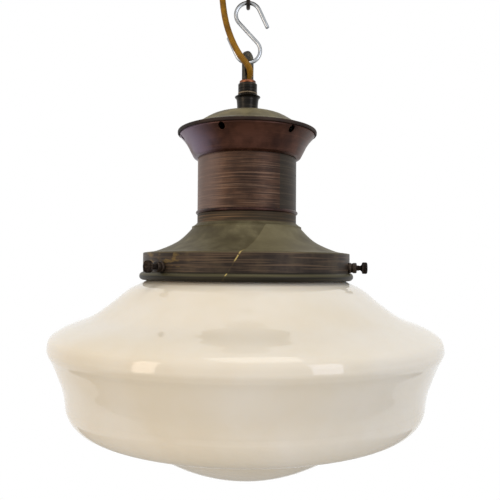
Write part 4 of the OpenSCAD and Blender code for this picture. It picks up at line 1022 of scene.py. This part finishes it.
line_depth = add_node(tree, "Math", (
    add_node(tree, "Math", (on_band, 0.8), operation="MULTIPLY"), 0.2), operation="ADD")
height = add_node(tree, "Math", (
    add_node(tree, "Math", (lines, line_depth), operation="MULTIPLY"),
    add_node(tree, "Math", (grain(tree, 1.2), 0.5), operation="MULTIPLY")), operation="ADD")
set_inputs(tree, shader, {
    "Base Color": tone,
    "Normal": add_node(tree, "Bump", {
        "Height": height, "Strength": 0.6, "Distance": 0.05 * MM}),
    "Roughness": add_node(tree, "MapRange", {
        "Value": on_band, "To Min": 0.58, "To Max": 0.5}),
    "Metallic": 0.4, "Specular IOR Level": OXIDE_SHINE})
fit(gallery, "lamp", "gallery", gallery_metal)

# Bosses: three turned brass studs, riveted through the band and tapped for the screws. Both
# are brown with oxide, with fine turning lines.
screw_metal = patina(
    "dark_brown_turned_brass", ("#1A1412", "#28201C", "#3A3028"), "#584B3B", 0.3, 0.6, 0.38,
    line_mm=0.5, depth_mm=0.02)[0]


def turn_outwards(piece, degrees):
    """Turns a piece built up along Z so that it points outwards at the screws' height."""
    piece.matrix_world = (
        Matrix.Rotation(math.radians(degrees), 4, "Z")
        @ Matrix.Translation((0, 0, SCREW_Z * MM)) @ Matrix.Rotation(math.radians(90), 4, "X"))
    bpy.ops.object.select_all(action="DESELECT")
    piece.select_set(True)
    bpy.context.view_layer.objects.active = piece
    place_in_mesh()


def copy_of(piece, name):
    copied = piece.copy()
    copied.data = piece.data.copy()
    copied.name = copied.data.name = name
    bpy.context.scene.collection.objects.link(copied)
    return copied


BOSS_R, BOSS_END, BOSS_BORE_R, BOSS_IN = 4, BAND_R + 6, 2.05, 81.2
boss = turned("screw_boss_1", eased([
    (BOSS_BORE_R, BOSS_IN, 0), (BOSS_SPIGOT_R, BOSS_IN, 0.3),
    (BOSS_SPIGOT_R, BAND_R + 0.1, 0), (BOSS_R, BAND_R + 0.1, 0.2),
    (BOSS_R, BAND_R + 1.4, 0.3), (3.5, BAND_R + 2.0, 0.3), (3.7, BAND_R + 3.0, 0.4),
    (BOSS_R, BAND_R + 3.6, 0.3), (BOSS_R, BOSS_END, 0.8), (BOSS_BORE_R, BOSS_END, 0.3)]),
    steps=48)
bosses = [boss, copy_of(boss, "screw_boss_2"), copy_of(boss, "screw_boss_3")]
for piece, degrees in zip(bosses, SCREW_TURNS):
    turn_outwards(piece, degrees)
    fit(piece, "lamp", "screw_bosses", screw_metal)


# Thumbscrews: a plain shank, a turned waist and a round head with a knurled rim. Each
# carries a nylon tip on a pin, which keeps still against the glass while the screw turns.
HEAD_R, HEAD_START, HEAD_END, SHANK_R, WAIST_R = 4.4, 92.5, 96.3, 2, 1.75
SHANK_START, PIN_HOLE_R, PIN_HOLE_END = 77.75, 1.05, 80.4
THREAD_PITCH, THREAD_DEPTH, KNURL_STEP = 0.7, 0.25, 5.625
thread = []
thread_z = SHANK_START + 0.5
while thread_z < BOSS_END - 1.5:
    thread += [(SHANK_R, thread_z), (SHANK_R - THREAD_DEPTH, thread_z + THREAD_PITCH / 2)]
    thread_z += THREAD_PITCH
screw = turned("thumbscrew_1_turned", [
    (PIN_HOLE_R, SHANK_START), (SHANK_R - THREAD_DEPTH, SHANK_START)] + thread + [
    (SHANK_R, thread_z), (SHANK_R, BOSS_END + 1.6), (WAIST_R, BOSS_END + 2.2),
    (WAIST_R, HEAD_START - 1.5), (2.3, HEAD_START - 0.7), (3.3, HEAD_START - 0.1),
    (HEAD_R - 0.5, HEAD_START), (HEAD_R - 0.1, HEAD_START + 0.3), (HEAD_R, HEAD_START + 0.7),
    (HEAD_R, HEAD_END - 0.9), (HEAD_R - 0.2, HEAD_END - 0.35), (HEAD_R - 0.8, HEAD_END),
    (2.4, HEAD_END), (2.1, HEAD_END - 0.3), (0, HEAD_END - 0.4), (0, PIN_HOLE_END),
    (PIN_HOLE_R, PIN_HOLE_END)],
    angle=30, steps=64)
for face in screw.data.polygons:
    side = math.hypot(face.center.x, face.center.y)
    rim = abs(face.normal.z) < 0.3 and HEAD_START + 0.6 < face.center.z / MM < HEAD_END - 0.8
    turn = math.degrees(math.atan2(face.center.y, face.center.x)) / KNURL_STEP
    face.select = rim and side > (HEAD_R - 0.2) * MM and int(math.floor(turn)) % 2 == 0
bpy.ops.object.mode_set(mode="EDIT")
bpy.ops.mesh.select_mode(type="FACE")
bpy.ops.mesh.inset(thickness=0.05 * MM, depth=-0.22 * MM, use_individual=True)
bpy.ops.object.mode_set(mode="OBJECT")
screws = [screw, copy_of(screw, "thumbscrew_2_turned"), copy_of(screw, "thumbscrew_3_turned")]
for number, (piece, degrees) in enumerate(zip(screws, SCREW_TURNS), 1):
    turn_outwards(piece, degrees)
    fit(piece, f"thumbscrew_{number}", f"thumbscrew_{number}", screw_metal)


# Shade: one piece of blown opal glass, made in a turned mould and fire-polished. A ground
# lip, a swept shoulder, a rounded rim, a skirt that leans in and a shallow bowl underneath.
SHADE_R, SHADE_T, SHADE_NECK_R, LIP_R = 152.4, 4, 75.8, 77.4
SHADE_NECK_Z, SHADE_WIDE_Z, CORNER_Z, CORNER_R = -283.8, -333.6, -374.5, 20.9
LIP_TOP_Z, LIP_LOW_Z, FOOT_R, BOWL_R, BOWL_Z, BOWL_H = -266.4, -270.1, 138.9, 85, -406, 31.2
SHADE_TURN_R = 3.5
neck_foot, wide, foot_point = (
    (SHADE_NECK_R, SHADE_NECK_Z), (SHADE_R, SHADE_WIDE_Z), (FOOT_R, CORNER_Z))
turn_centre = (SHADE_NECK_R + SHADE_TURN_R, SHADE_NECK_Z + SHADE_TURN_R)
corner_centre = (FOOT_R - CORNER_R, CORNER_Z)
under_z = CORNER_Z - CORNER_R
side_line = curve(
    arc(turn_centre, SHADE_TURN_R, 250, 250, 1)[:1]
    + between(
        neck_foot, wide, (0.12, 0.06), (0.22, 0.14), (0.39, 0.35), (0.585, 0.56),
        (0.83, 0.71), (0.97, 0.85))
    + [wide]
    + between(wide, foot_point, (0.08, 0.12), (0.29, 0.25), (0.59, 0.5), (0.86, 0.75))
    + [foot_point], 10)
underside = curve(
    arc(corner_centre, CORNER_R, -82, -82, 1)[:1] + [
        (BOWL_R + 17, under_z - 2.65), (BOWL_R + 6, under_z - 6.36), (BOWL_R, BOWL_Z)], 8)
bowl_arc = (BOWL_R ** 2 + BOWL_H ** 2) / (2 * BOWL_H)
bowl_start = math.degrees(math.asin(BOWL_R / bowl_arc)) - 90 - 3
shade_line = [(SHADE_NECK_R, LIP_LOW_Z - 1.4)] + arc(turn_centre, SHADE_TURN_R, 180, 240, 6)
shade_line += side_line + arc(corner_centre, CORNER_R, -6, -76, 18) + underside
shade_line += arc((0, BOWL_Z - BOWL_H + bowl_arc), bowl_arc, bowl_start, -90, 24)
lip = eased([
    (SHADE_NECK_R - SHADE_T, LIP_TOP_Z, 0.8), (LIP_R, LIP_TOP_Z, 1.0), (LIP_R, LIP_LOW_Z, 1.0),
    (SHADE_NECK_R, LIP_LOW_Z - 1.4, 0)], 5)
shade = turned(
    "opal_glass_shade", sheet_outline(shade_line, SHADE_T) + lip[:-1], angle=50, steps=224)

# Opal glass: milk white with a warm cream cast, glossy and even. Light sinks in by some
# millimetres, and the surface keeps the faint waves of blowing.
opal = even_finish(
    "blown_opal_glass", {"size": 60, "detail": 3.0}, ((0.35, "#E8DECA"), (0.65, "#EDE6D8")),
    {"Roughness": 0.05, "IOR": 1.45, "Specular IOR Level": 0.45, "Subsurface Weight": 0.3,
     "Subsurface Radius": (1.0, 0.9, 0.75), "Subsurface Scale": 6 * MM},
    ({"size": 45, "stretch": (1, 1, 0.6), "detail": 1.0}, 0.5, 0.5))
fit(shade, "lamp", "opal_shade", opal)


# Lampholder and bulb: a brass holder with a porcelain insert, and a frosted bulb with an
# aluminium screw cap. They hide in the shade and keep their CAD shape.
wear(bright_brass, "holder_top", "holder_body", "holder_ring", "holder_contacts")
wear(porcelain, "holder_insert")
wear(core_rubber, "holder_cores")

# Rolled aluminium: light grey metal with a soft shine
aluminium = even_finish(
    "rolled_aluminium_cap", {"size": 2}, ((0.3, "#BFC0C2"), (0.7, "#D3D4D6")),
    {"Metallic": 1.0, "Roughness": 0.3})

# Cast black glass under the cap: glossy
black_glass = even_finish(
    "black_cap_glass", {"size": 2}, ((0.3, "#141416"), (0.7, "#202024")), {"Roughness": 0.1})

# Etched bulb glass: white and satin, because the acid leaves a fine grain
frosted = even_finish(
    "etched_bulb_glass", {"size": 4}, ((0.3, "#E9E9E6"), (0.7, "#F2F2EF")),
    {"Roughness": 0.4, "Subsurface Weight": 0.2, "Subsurface Scale": 2 * MM},
    ({"size": 0.3}, 0.2, 0.01))
wear(aluminium, "bulb_cap")
wear(black_glass, "bulb_insulator")
wear(frosted, "bulb_glass")
